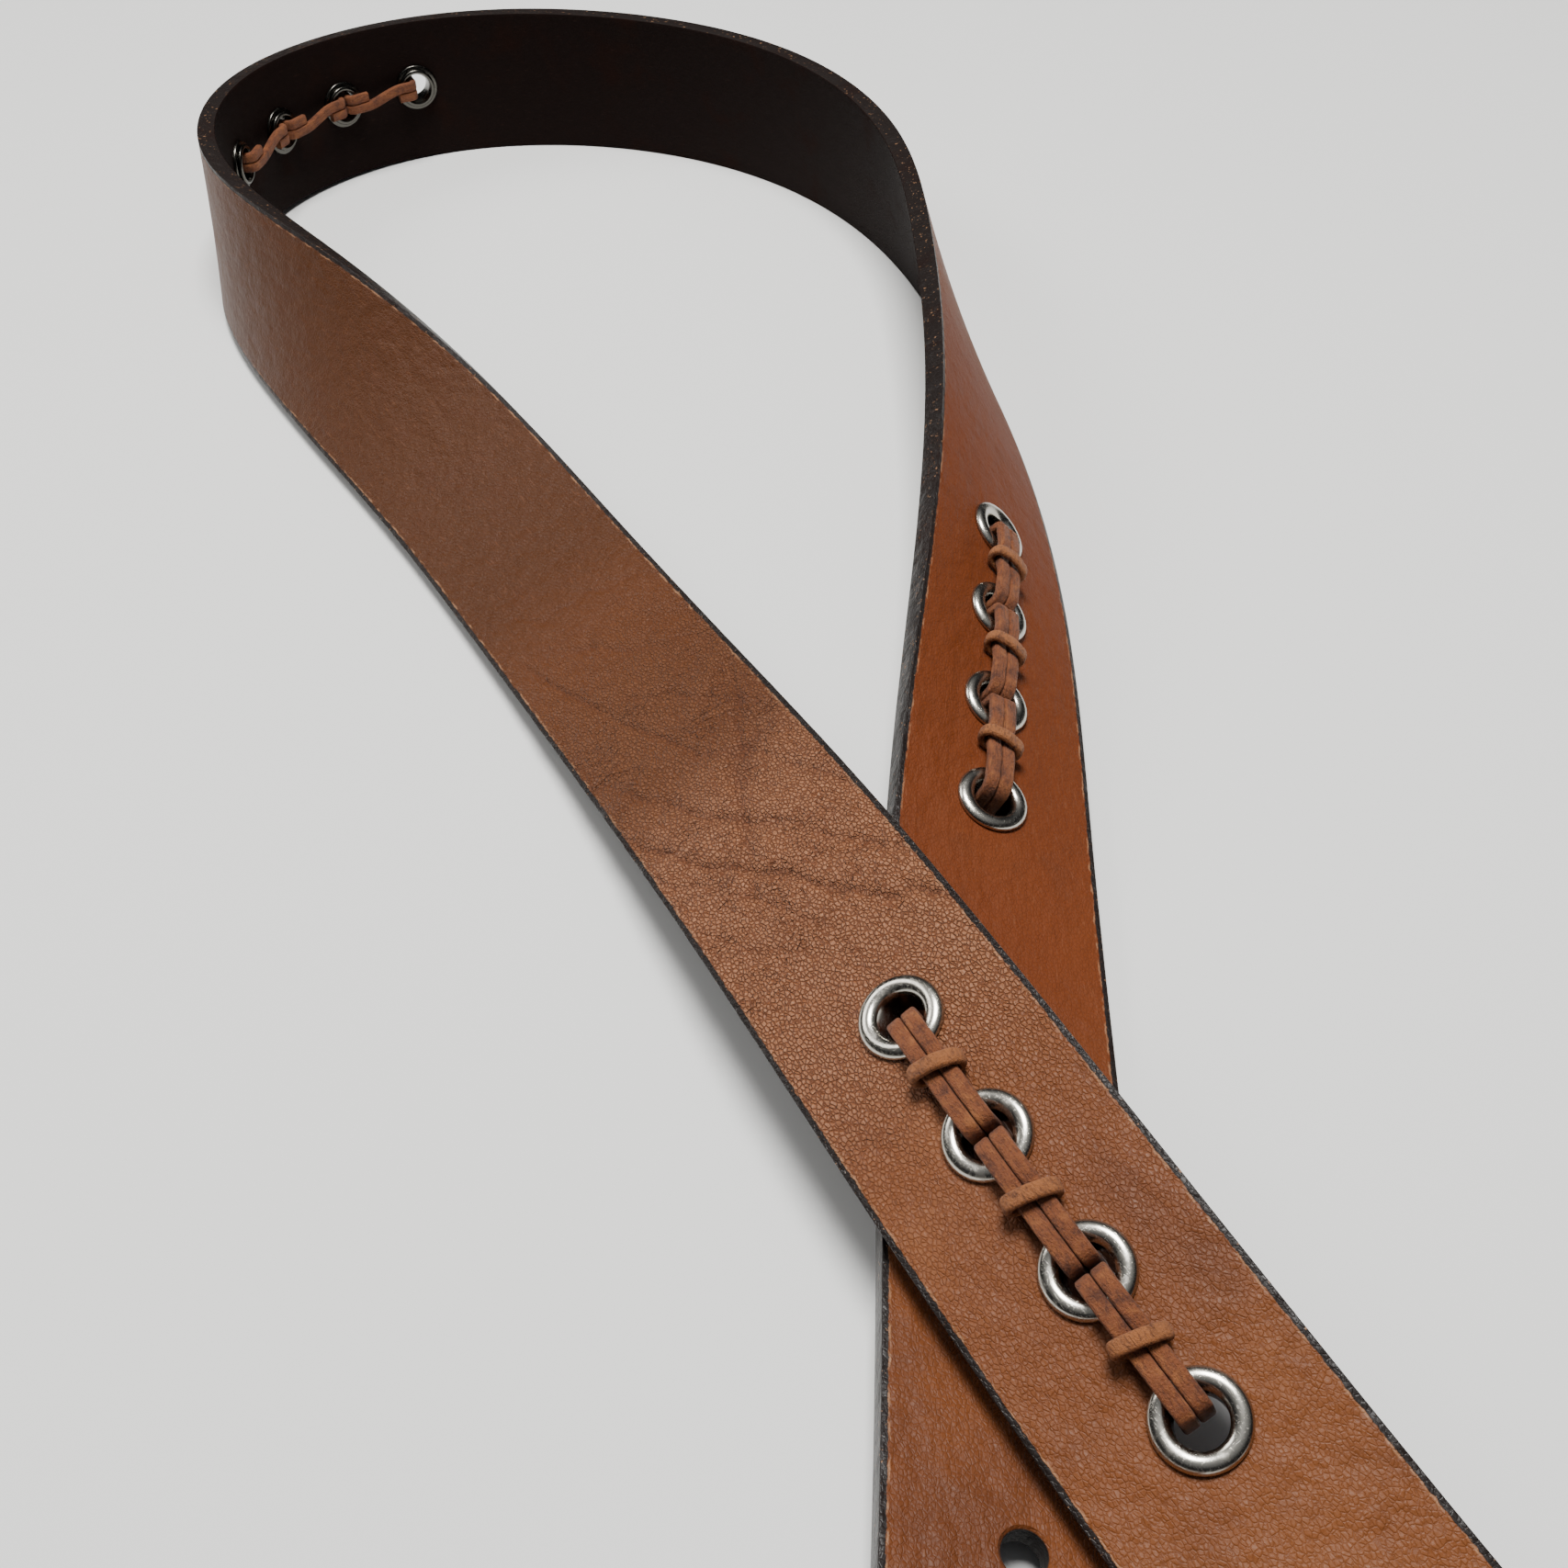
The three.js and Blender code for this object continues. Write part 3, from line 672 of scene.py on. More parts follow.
def make_eyelets(metal):
    eyelet, washer = eyelet_pattern(), washer_pattern()
    for place, start in MOTIFS.items():
        for i in range(EYELETS):
            number = f"{place}_{i + 1}"
            for pattern, word in ((eyelet, "eyelet"), (washer, "washer")):
                ring = copy_of(pattern, f"{word}_ring_{number}")
                shift(ring, start + i * EYELET_PITCH, ROW)
                settle(ring, f"{word}_{number}", "strap", metal)
    bpy.data.objects.remove(eyelet)
    bpy.data.objects.remove(washer)


# ---------------------------------------------------------------- lacing

def over_the_top():
    """One stitch over the grain face, from low in one eyelet to low in the next, as (x, z)."""
    near, far = LACE_LEG, EYELET_PITCH - LACE_LEG
    tight, easy = 0.9, 2.1
    spring, dip = 0.3, 0.25
    rise = arc((near + tight, LACE_TOP - tight), (tight, tight), 180, 90, 7)
    dive = arc((far - easy, LACE_TOP - easy), (easy, easy), 90, 0, 9)
    span = dive[0][0] - rise[-1][0]
    top = []
    for i in range(1, 24):
        t = i / 24
        arch = spring * math.sin(2 * math.pi * t) ** 2 - dip * math.sin(math.pi * t) ** 6
        top.append((rise[-1][0] + span * t, LACE_TOP + arch))
    return rise + top + dive


def lace_path():
    """Two turns of one lace, with both ends tucked flat behind the strap, as (x, y, z)."""
    near, far = LACE_LEG, EYELET_PITCH - LACE_LEG
    bend, tuck_step = 1.3, 0.3
    left, right = -LACE_APART, LACE_APART
    tuck_in = [(near + bend + tuck_step * i, left, LACE_FOOT) for i in range(12, 0, -1)]
    up = arc((near + bend, LACE_FOOT + bend), (bend, bend), 270, 180, 6)
    down = arc((far - bend, LACE_FOOT + bend), (bend, bend), 0, -90, 6)
    legs = [(LACE_FOOT + bend) + (LACE_TOP - LACE_FOOT - 2 * bend) * i / 6 for i in range(1, 6)]
    over = over_the_top()

    def turn_at(y):
        climb = [(x, y, z) for x, z in up] + [(near, y, z) for z in legs]
        across = [(x, y, z) for x, z in over]
        drop = [(far, y, z) for z in reversed(legs) if z < over[-1][1] - 0.3]
        return climb + across + drop + [(x, y, z) for x, z in down]

    back = []
    first, last = far - bend, near + bend
    for i in range(1, 24):
        t = i / 24
        cross = smooth(min(max((t - 0.12) / 0.72, 0), 1))
        hump = 0.35 * math.sin(math.pi * t)
        back.append((first + (last - first) * t, left + (right - left) * cross, LACE_FOOT - hump))
    tuck_out = [(far - bend - tuck_step * i, right, LACE_FOOT) for i in range(1, 11)]
    return tuck_in + turn_at(left) + back + turn_at(right) + tuck_out


def wrap_path():
    """One turn of lace round a stitch, with its two ends meeting underneath, as (x, y, z)."""
    bend = 1.45
    side, top, foot = WRAP_SIDE, WRAP_TOP, WRAP_FOOT
    corners = [((-side + bend, foot + bend), 270), ((-side + bend, top - bend), 180),
               ((side - bend, top - bend), 90), ((side - bend, foot + bend), 0)]
    loop = [(0.5 - 0.5 * i, foot) for i in range(4)]
    for middle, start in corners:
        loop += arc(middle, (bend, bend), start, start - 90, 7)
        if start == 180:
            loop += [(-side + bend + (2 * side - 2 * bend) * i / 8, top + 0.3 * math.sin(math.pi * i / 8))
                     for i in range(1, 8)]
    loop += [(side - bend - 0.4 * i, foot) for i in range(1, 4)]
    lean = math.tan(WRAP_LEAN)
    return [(y * lean, y, z) for y, z in loop]


def make_lacing(lace_material, wrap_material):
    lace = swept("lace", lace_path(), rounded_section(LACE_WIDTH, LACE_THICKNESS, 0.42))
    wrap = swept("wrap", wrap_path(), rounded_section(WRAP_WIDTH, WRAP_THICKNESS, 0.52))
    for place, start in MOTIFS.items():
        for i in range(EYELETS - 1):
            number = f"{place}_{i + 1}"
            x = start + i * EYELET_PITCH
            stitch = copy_of(lace, f"lace_stitch_{number}")
            shift(stitch, x, ROW)
            settle(stitch, f"lace_{number}", "strap", lace_material)
            turn_round = copy_of(wrap, f"lace_wrap_{number}")
            shift(turn_round, x + EYELET_PITCH / 2, ROW)
            settle(turn_round, f"wrap_{number}", "strap", wrap_material)
    bpy.data.objects.remove(lace)
    bpy.data.objects.remove(wrap)


# ---------------------------------------------------------------- buckle, keeper and screws

def hang_from_bar(piece):
    """Tips a piece drawn with the bar at its own origin down from the strap, and sets it on."""
    piece.data.transform(Matrix.Rotation(-FRAME_DROP, 4, "Y"))
    shift(piece, BAR_AT, 0, BAR_DEPTH)


def make_frame(metal):
    outer = FRAME_INNER + FRAME_SECTION
    reach = FRAME_REACH + FRAME_PAST_BAR
    bpy.ops.object.select_all(action="DESELECT")
    bpy.ops.mesh.primitive_plane_add(size=1, location=((-FRAME_REACH + reach / 2) * MM, 0, 0))
    buckle = bpy.context.object
    buckle.name = "buckle_frame_cast"
    buckle.scale = (reach * MM, 2 * outer * MM, 1)
    place_in_mesh(buckle)
    bpy.ops.object.mode_set(mode="EDIT")
    select_whole()
    bpy.ops.mesh.bevel(offset=FRAME_CORNER * MM, segments=10, affect="VERTICES", profile=0.5)
    select_whole()
    bpy.ops.mesh.inset(thickness=FRAME_SECTION * MM)
    bpy.ops.mesh.delete(type="FACE")
    select_whole()
    bpy.ops.mesh.bisect(plane_co=(FRAME_EYE * MM, 0, 0), plane_no=(1, 0, 0), clear_outer=True)
    select_whole()
    draw_out(z=FRAME_THICKNESS)
    select_whole()
    bpy.ops.transform.translate(value=(0, 0, -FRAME_THICKNESS / 2 * MM))
    close_up(buckle)
    finish_with(buckle, "BEVEL", width=FRAME_ROUND * MM, segments=5, limit_method="ANGLE",
                angle_limit=math.radians(50))
    bar_reach = FRAME_INNER + 1
    bar = turned("bar", [(BAR_RADIUS, -bar_reach), (BAR_RADIUS, bar_reach)], 40)
    cap_ends(bar)
    bar.data.transform(Matrix.Rotation(math.radians(90), 4, "X"))
    use_tool(buckle, bar, "UNION")
    hang_from_bar(buckle)
    settle(buckle, "buckle_frame", "frame", metal, 30)


def make_prong(metal):
    """A flat oval rod, curled round the bar and drawn out to a blunt point on the frame."""
    bpy.ops.object.select_all(action="DESELECT")
    bpy.ops.mesh.primitive_circle_add(
        vertices=20, radius=0.5, fill_type="NGON", rotation=(0, math.radians(90), 0),
        location=(0, 0, PRONG_EYE * MM))
    prong = bpy.context.object
    prong.name = "buckle_prong_cast"
    prong.scale = (PRONG_WALL * MM, PRONG_WIDTH * MM, 1)
    place_in_mesh(prong)
    bpy.ops.object.mode_set(mode="EDIT")
    select_whole()
    # Sections of the arm: how far out, how high, and how thick against the curl.
    arm = [(-2, 0.1, 1.15), (-4, 0.35, 1.4), (-8, 0.8, 1.7), (-14, 1.25, 1.85), (-20, 1.3, 1.85),
           (-26, 1.05, 1.8), (-30, 0.9, 1.75), (-33, 0.8, 1.65), (-35.6, 0.6, 1.45), (-36.9, 0.4, 1.1),
           (-37.5, 0.25, 0.6)]
    x0, lift0, size0 = 0, 0, 1
    for x, lift, size in arm:
        draw_out(x - x0, lift - lift0)
        middle = (x * MM, 0, (PRONG_EYE + lift) * MM)
        narrow = 1 if x > PRONG_POINT else (size / size0) ** 0.5
        bpy.ops.transform.resize(value=(1, narrow, size / size0), center_override=middle)
        x0, lift0, size0 = x, lift, size
    select_faces(prong, lambda p: abs(p.x) < 0.01)
    bpy.ops.mesh.spin(steps=30, angle=math.radians(-310), center=(0, 0, 0), axis=(0, 1, 0))
    close_up(prong)
    finish_with(prong, "SUBSURF", levels=1, render_levels=1)
    hang_from_bar(prong)
    settle(prong, "buckle_prong", "prong", metal, 50)


def make_keeper(material):
    """A leather loop, with its two ends butted together underneath."""
    bend = KEEPER_CORNER
    grow = KEEPER_THICKNESS / 2
    side, top, foot = KEEPER_SIDE + grow, KEEPER_ROOF + grow, KEEPER_FOOT - grow
    half = side - bend
    corners = [((-half, foot + bend), 270), ((-half, top - bend), 180), ((half, top - bend), 90),
               ((half, foot + bend), 0)]
    steps = 22
    loop = [(-0.15 - (half - 0.15) * i / steps, foot) for i in range(steps)]
    for middle, start in corners:
        loop += arc(middle, (bend, bend), start, start - 90, 8)
        if start == 180:
            loop += [(-half + 2 * half * i / 40, top + 0.35 * math.sin(math.pi * i / 40))
                     for i in range(1, 40)]
    loop += [(half - (half - 0.15) * i / steps, foot) for i in range(1, steps + 1)]
    keeper = swept("keeper_loop", [(0, y, z) for y, z in loop],
                   rounded_section(KEEPER_LENGTH, KEEPER_THICKNESS, 0.6))
    shift(keeper, KEEPER_AT)
    settle(keeper, "keeper", "keeper", material)


def make_screws(metal):
    head = GRAIN + 0.1
    rim = SCREW_RIM
    shank_foot = TAB_FOOT - 0.1
    post_profile = [(0.9 * SCREW_SHANK, shank_foot), (SCREW_SHANK, shank_foot + 0.2), (SCREW_SHANK, head),
                    (rim - 0.2, head), (rim, head + 0.15), (rim, head + 0.35)]
    post_profile += arc((0, head + 0.35), (rim, SCREW_DOME - 0.25), 0, 82, 12)[1:]
    post_profile.append((0, head + SCREW_DOME))
    top = TAB_FOOT - 0.3
    head_profile = [(rim, top), (rim, top - 0.4)]
    head_profile += arc((0, top - 0.4), (rim, SCREW_DOME - 0.4), 0, -84, 10)[1:]
    for side, word in ((-1, "left"), (1, "right")):
        post = turned("screw_post_" + word + "_dome", post_profile, 56)
        cap_ends(post)
        shift(post, SCREW_AT, side * SCREW_SPREAD)
        settle(post, "screw_post_" + word, "strap", metal)
        screw = turned("screw_head_" + word + "_slotted", head_profile, 56)
        cap_ends(screw)
        use_tool(screw, block((0, 0, top - SCREW_DOME - 0.2), (3 * rim, *SCREW_SLOT)))
        shift(screw, SCREW_AT, side * SCREW_SPREAD)
        settle(screw, "screw_head_" + word, "strap", metal, 30)


# ---------------------------------------------------------------- finishes

class Finish:
    """Lays out shader nodes in a material or a group, with short calls."""

    def __init__(self, tree):
        self.tree = tree

    def put(self, socket, value):
        if isinstance(value, bpy.types.NodeSocket):
            self.tree.links.new(value, socket)
        elif value is not None:
            socket.default_value = value

    def node(self, kind, inputs=(), **settings):
        made = self.tree.nodes.new("ShaderNode" + kind)
        for name, value in settings.items():
            setattr(made, name, value)
        for key, value in dict(inputs).items():
            self.put(made.inputs[key], value)
        return made

    def math(self, operation, a, b=None, c=None):
        made = self.node("Math", operation=operation)
        for socket, value in zip(made.inputs, (a, b, c)):
            self.put(socket, value)
        return made.outputs[0]

    def times(self, a, b):
        return self.math("MULTIPLY", a, b)

    def line(self, value, slope, start):
        """A start, and so much more for each unit of a value."""
        return self.math("MULTIPLY_ADD", value, slope, start)

    def step(self, value, low, high, to_low=0.0, to_high=1.0):
        """A smooth step from one level of a value to another."""
        made = self.node("MapRange", {"Value": value, "From Min": low, "From Max": high,
                                      "To Min": to_low, "To Max": to_high},
                         interpolation_type="SMOOTHSTEP")
        return made.outputs["Result"]

    def blend(self, mask, a, b):
        made = self.node("Mix", data_type="RGBA")
        self.put(made.inputs[0], mask)
        for socket, value in ((made.inputs[6], a), (made.inputs[7], b)):
            self.put(socket, (*value, 1) if isinstance(value, tuple) else value)
        return made.outputs[2]

    def tint(self, colour, other, mask, strength):
        """Goes from a colour to another where a mask is high, up to a strength."""
        return self.blend(self.times(mask, strength), colour, other)

    def place(self, vector, scale):
        return self.node("Mapping", {"Vector": vector, "Scale": scale}).outputs[0]

    def noise(self, vector, scale, detail=2.0, rough=0.5, distortion=0.0):
        made = self.node("TexNoise", {"Vector": vector, "Scale": scale, "Detail": detail,
                                      "Roughness": rough, "Distortion": distortion})
        return made.outputs[0]

    def cracks(self, vector, scale):
        """The distance from the nearest edge between cells."""
        made = self.node("TexVoronoi", {"Vector": vector, "Scale": scale}, feature="DISTANCE_TO_EDGE")
        return made.outputs["Distance"]

    def bump(self, height, distance, normal=None):
        """A bump of a height from 0 to 1, this many millimetres deep."""
        made = self.node("Bump", {"Height": height, "Strength": 1.0, "Distance": distance * MM,
                                  "Normal": normal})
        return made.outputs[0]


def new_group(name, inputs, outputs):
    """A shader node group that takes a vector and some named numbers, and gives named numbers."""
    tree = bpy.data.node_groups.new(name, "ShaderNodeTree")
    tree.interface.new_socket(name="Vector", in_out="INPUT", socket_type="NodeSocketVector")
    for way, labels in (("INPUT", inputs), ("OUTPUT", outputs)):
        for label in labels:
            tree.interface.new_socket(name=label, in_out=way, socket_type="NodeSocketFloat")
    build = Finish(tree)
    given = tree.nodes.new("NodeGroupInput").outputs
    result = tree.nodes.new("NodeGroupOutput").inputs
    return tree, build, given, result


def leather_grain_group():
    """Pebbled grain: fine cells broken up by pores and a slow unevenness. Vector in millimetres."""
    tree, build, given, result = new_group("leather_grain", ["Pebble", "Pores"], ["Height"])
    warp = build.noise(given["Vector"], 1.6, 2.0)
    sway = build.node("VectorMath", {0: warp, 1: (0.35, 0.35, 0.35)}, operation="MULTIPLY").outputs[0]
    warped = build.node("VectorMath", {0: given["Vector"], 1: sway}, operation="ADD").outputs[0]
    scale = build.math("DIVIDE", 1.0, given["Pebble"])
    pebble = build.step(build.cracks(warped, scale), 0.0, 0.2)
    fine = build.noise(warped, build.times(scale, 1.7), 3.0, 0.65)
    pore_cell = build.node("TexVoronoi", {"Vector": given["Vector"], "Scale": 1.15}).outputs["Distance"]
    pore = build.times(build.step(pore_cell, 0.05, 0.2, 1.0, 0.0), given["Pores"])
    body = build.math("ADD", build.times(pebble, 0.55), build.times(fine, 0.45))
    height = build.math("SUBTRACT", body, build.times(pore, 0.5))
    build.put(result["Height"], height)
    return tree


def worn_patches_group():
    """Slow cloudy patches where the dye has rubbed pale or sunk in dark. Vector in millimetres."""
    tree, build, given, result = new_group("worn_patches", ["Size"], ["Pale", "Dark", "Speck"])
    scale = build.math("DIVIDE", 1.0, given["Size"])
    slow = build.noise(given["Vector"], scale, 4.0, 0.6, 0.4)
    build.put(result["Pale"], build.step(slow, 0.5, 0.72))
    build.put(result["Dark"], build.step(slow, 0.5, 0.3))
    quick = build.noise(given["Vector"], build.times(scale, 14.0), 3.0, 0.7)
    build.put(result["Speck"], build.step(quick, 0.42, 0.64))
    return tree


def suede_fibre_group():
    """Short lying fibres, drawn out along the first axis. Vector in millimetres."""
    tree, build, given, result = new_group("suede_fibre", ["Length"], ["Fibre", "Nap"])
    squeeze = build.node("CombineXYZ", {"X": build.math("DIVIDE", 1.0, given["Length"]), "Y": 3.2,
                                        "Z": 3.2}).outputs[0]
    drawn = build.node("VectorMath", {0: given["Vector"], 1: squeeze}, operation="MULTIPLY").outputs[0]
    build.put(result["Fibre"], build.noise(drawn, 1.0, 3.0, 0.6, 0.6))
    build.put(result["Nap"], build.noise(given["Vector"], 3.4, 3.0, 0.7))
    return tree


def fine_scratch_group():
    """Hair scratches from handling on polished metal. Vector in millimetres."""
    tree, build, given, result = new_group("fine_scratch", ["Amount"], ["Scratch", "Haze"])
    long_way = build.place(given["Vector"], (0.6, 9.0, 9.0))
    cross_way = build.place(given["Vector"], (8.0, 0.5, 8.0))
    first = build.step(build.noise(long_way, 1.0, 2.0, 0.6, 1.2), 0.62, 0.72)
    second = build.step(build.noise(cross_way, 1.0, 2.0, 0.6, 1.2), 0.64, 0.74)
    both = build.times(build.math("MAXIMUM", first, second), given["Amount"])
    build.put(result["Scratch"], both)
    build.put(result["Haze"], build.noise(given["Vector"], 0.55, 4.0, 0.6))
    return tree


def new_material(name):
    """A material, the layer-out of its nodes, and the sockets of its shader."""
    material = bpy.data.materials.new(name)
    material.use_nodes = True
    build = Finish(material.node_tree)
    return material, build, material.node_tree.nodes["Principled BSDF"].inputs


def flat_millimetres(build):
    """The place on the flat pattern, in millimetres."""
    flat = build.node("Attribute", attribute_name="flat").outputs["Vector"]
    return build.place(flat, (1 / MM, 1 / MM, 1 / MM))


def use_group(build, tree, **inputs):
    made = build.node("Group", node_tree=tree)
    for name, value in inputs.items():
        build.put(made.inputs[name], value)
    return made.outputs


def span(build, value, start, end, soft):
    """1 between two distances along the strap, fading over a soft length at both sides."""
    rise = build.step(value, start - soft, start + soft)
    fall = build.step(value, end - soft, end + soft, 1.0, 0.0)
    return build.times(rise, fall)


# Runs of the strap whose finish differs: start, end, and how softly each side fades.
AMBER_RUN = (760, 940, 28)
# Painted shade: the far run and the stretch just before it take a darker tone.
SHADED_RUN = (300, 480, 36)
SHADED_START_RUN = (246, 300, 18)
BUCKLE_RUN = (60, 150, 25)
# Dry, worn leather near the fold lines, lightened there with a painted sheen.
DRY_AND_SHEEN_RUN = (192, 262, 16)
DRY_AND_SHEEN_ROUND = (160, 300, 30)
WRINKLED_RUN = (216, 290, 16)
WRINKLED_ROUND = (190, 335, 25)
ROUGH_RUN = (190, 300, 20)

# The cut edge, from the middle of the strap: where its wear starts, and where it turns down.
FRAY_FROM = HALF_WIDTH - 1.2
EDGE_FROM = HALF_WIDTH - 0.8

LEATHER = (0.136, 0.0385, 0.0088)
LEATHER_PALE = (0.25, 0.088, 0.026)
LEATHER_DARK = (0.07, 0.019, 0.006)
# A darker tone for painted shade on the far run.
LEATHER_SHADED = (0.058, 0.0172, 0.0028)
LEATHER_AMBER = (0.125, 0.0235, 0.0015)
# A pale dry tone that also serves as a painted sheen.
LEATHER_DRY_AND_SHEEN = (0.26, 0.105, 0.05)
# A painted highlight for the grain's crests.
LEATHER_CREST_HIGHLIGHT = (0.46, 0.25, 0.145)
BURNT_EDGE = (0.012, 0.0085, 0.0075)
FLESH = (0.012, 0.0036, 0.002)
FLESH_DARK = (0.0055, 0.0017, 0.001)
FLESH_PALE = (0.045, 0.022, 0.014)
FRAY = (0.36, 0.19, 0.1)
LACE = (0.17, 0.049, 0.0145)
LACE_PALE = (0.27, 0.096, 0.03)
LACE_DARK = (0.04, 0.011, 0.006)
NICKEL = (0.5, 0.475, 0.42)


def crease_lines(build, flat, along):
    """The worked creases, and a net of fine wrinkles that runs out from them."""
    worked = build.node("Attribute", attribute_name="crease").outputs["Fac"]
    bent = build.math("MAXIMUM", span(build, along, *WRINKLED_RUN),
                      build.times(span(build, along, *WRINKLED_ROUND), 0.3))
    warp = build.noise(build.place(flat, (0.1, 0.1, 0.1)), 1.0, 3.0, 0.6)
    swirl = build.node("VectorMath", {0: warp, 1: (9.0, 9.0, 0.0)}, operation="MULTIPLY").outputs[0]
    moved = build.node("VectorMath", {0: flat, 1: swirl}, operation="ADD").outputs[0]
    slanted = build.node("Mapping", {"Vector": moved, "Rotation": (0, 0, math.radians(32)),
                                     "Scale": (0.62, 0.24, 0.3)}).outputs[0]
    net = build.step(build.cracks(slanted, 1.0), 0.0, 0.12, 1.0, 0.0)
    broken = build.step(build.noise(build.place(flat, (0.16, 0.16, 0.1)), 1.0, 2.0), 0.42, 0.62)
    near = build.step(build.noise(build.place(flat, (0.5, 0.5, 0.5)), 1.0, 2.0), 0.35, 0.6)
    fine = build.times(build.times(net, broken), bent)
    line = build.times(worked, build.line(near, 0.6, 0.4))
    both = build.math("MAXIMUM", line, build.times(fine, 0.45))
    return build.math("MINIMUM", both, 1.0)


def strap_leather_finish(groups):
    """Burnished brown leather: dry and worn near its fold lines, where a painted sheen lightens it, with
    painted shade on the far run, in its grain hollows and along its creases, painted highlights on its
    grain crests, and burnt near black on its edges.
    """
    material, build, shader = new_material("burnished_strap_leather")
    flat = flat_millimetres(build)
    parts = build.node("SeparateXYZ", {0: flat})
    along, across, height = parts.outputs
    grain_place = build.place(flat, (0.8, 1.1, 1.0))
    grain = use_group(build, groups["grain"], Vector=grain_place, Pebble=0.58, Pores=0.25)
    patch = use_group(build, groups["patches"], Vector=build.place(flat, (1.0, 1.6, 1.0)), Size=34.0)
    fine_patch = use_group(build, groups["patches"], Vector=flat, Size=7.0)
    fibre = use_group(build, groups["fibre"], Vector=flat, Length=2.6)
    lines = crease_lines(build, flat, along)

    colour = build.tint(LEATHER, LEATHER_PALE, patch["Pale"], 0.35)
    colour = build.tint(colour, LEATHER_DARK, patch["Dark"], 0.5)
    amber = span(build, along, *AMBER_RUN)
    colour = build.tint(colour, LEATHER_AMBER, amber, 0.9)
    # Painted shade on the far run and the stretch just before it.
    shaded = span(build, along, *SHADED_RUN)
    colour = build.tint(colour, LEATHER_SHADED, shaded, 0.95)
    shaded_start = span(build, along, *SHADED_START_RUN)
    colour = build.tint(colour, LEATHER_SHADED, shaded_start, 0.65)
    near_end = span(build, along, *BUCKLE_RUN)
    colour = build.tint(colour, LEATHER_PALE, near_end, 0.3)
    # The dry, worn stretch near the fold lines, lightened with a painted sheen.
    dry_and_sheen = build.math("MAXIMUM", span(build, along, *DRY_AND_SHEEN_RUN),
                     build.times(span(build, along, *DRY_AND_SHEEN_ROUND), 0.25))
    dry_and_sheen_spots = build.line(fine_patch["Speck"], 0.4, 0.45)
    colour = build.tint(colour, LEATHER_DRY_AND_SHEEN, dry_and_sheen, dry_and_sheen_spots)
    colour = build.tint(colour, LEATHER_DARK, fine_patch["Dark"], 0.22)
    # Painted shade in the grain's hollows.
    hollow = build.step(grain["Height"], 0.55, 0.25)
    hollow_depth = build.line(dry_and_sheen, 0.4, 0.26)
    colour = build.tint(colour, LEATHER_DARK, hollow, hollow_depth)
    # Painted highlights on the grain's crests.
    crest = build.step(grain["Height"], 0.7, 0.88)
    crest_highlight = build.line(dry_and_sheen, 0.4, 0.02)
    colour = build.tint(colour, LEATHER_CREST_HIGHLIGHT, crest, crest_highlight)
    pull = build.step(fibre["Fibre"], 0.55, 0.72)
    colour = build.tint(colour, LEATHER_DRY_AND_SHEEN, pull, 0.18)
    # Painted shade along the creases and their fine wrinkles.
    colour = build.tint(colour, LEATHER_DARK, lines, 0.62)

    sideways = build.math("ABSOLUTE", across)
    ragged = build.line(build.noise(flat, 0.9, 3.0, 0.7), 0.6, FRAY_FROM)
    rim = build.math("SUBTRACT", sideways, ragged)
    worn = build.times(span(build, rim, -0.16, 0.1, 0.12),
                      build.step(build.noise(build.place(flat, (0.35, 1.0, 1.0)), 1.0, 2.0), 0.45, 0.62))
    colour = build.tint(colour, FRAY, worn, 0.62)
    off_grain = build.math("MAXIMUM", build.step(rim, 0.06, 0.16),
                           build.step(height, GRAIN - 0.22, GRAIN - 0.45))
    nick = build.times(build.step(build.noise(flat, 1.6, 2.0, 0.6), 0.66, 0.72),
                      build.step(sideways, EDGE_FROM, EDGE_FROM + 0.2))
    back = use_group(build, groups["patches"], Vector=flat, Size=11.0)
    dark = build.tint(BURNT_EDGE, FLESH, back["Pale"], 0.5)
    dark = build.tint(dark, FRAY, nick, 0.6)
    colour = build.blend(off_grain, colour, dark)
    build.put(shader["Base Color"], colour)

    gloss = build.line(patch["Pale"], 0.08, 0.54)
    gloss = build.line(amber, 0.2, gloss)
    gloss = build.line(dry_and_sheen, -0.04, gloss)
    gloss = build.line(lines, 0.15, gloss)
    gloss = build.line(grain["Height"], -0.1, gloss)
    on_edge = build.step(sideways, EDGE_FROM, EDGE_FROM + 0.4)
    dull = build.line(on_edge, -0.2, 0.58)
    mixed = build.node("Mix", {0: off_grain, 2: gloss, 3: dull}, data_type="FLOAT").outputs[0]
    build.put(shader["Roughness"], mixed)
    shader["Specular IOR Level"].default_value = 0.22
    shader["Sheen Weight"].default_value = 0.02
    shader["Sheen Roughness"].default_value = 0.45

    rough_zone = build.math("MAXIMUM", dry_and_sheen, span(build, along, *ROUGH_RUN))
    depth = build.line(rough_zone, 1.1, 0.35)
    relief = build.times(grain["Height"], depth)
    relief = build.times(relief, build.line(off_grain, -0.4, 1.0))
    surface = build.bump(relief, 0.2)
    surface = build.bump(build.math("SUBTRACT", 1.0, lines), 0.42, surface)
    slow = build.noise(build.place(flat, (0.24, 0.3, 0.3)), 1.0, 3.0, 0.55)
    surface = build.bump(slow, 0.6, surface)
    build.put(shader["Normal"], surface)
    return material


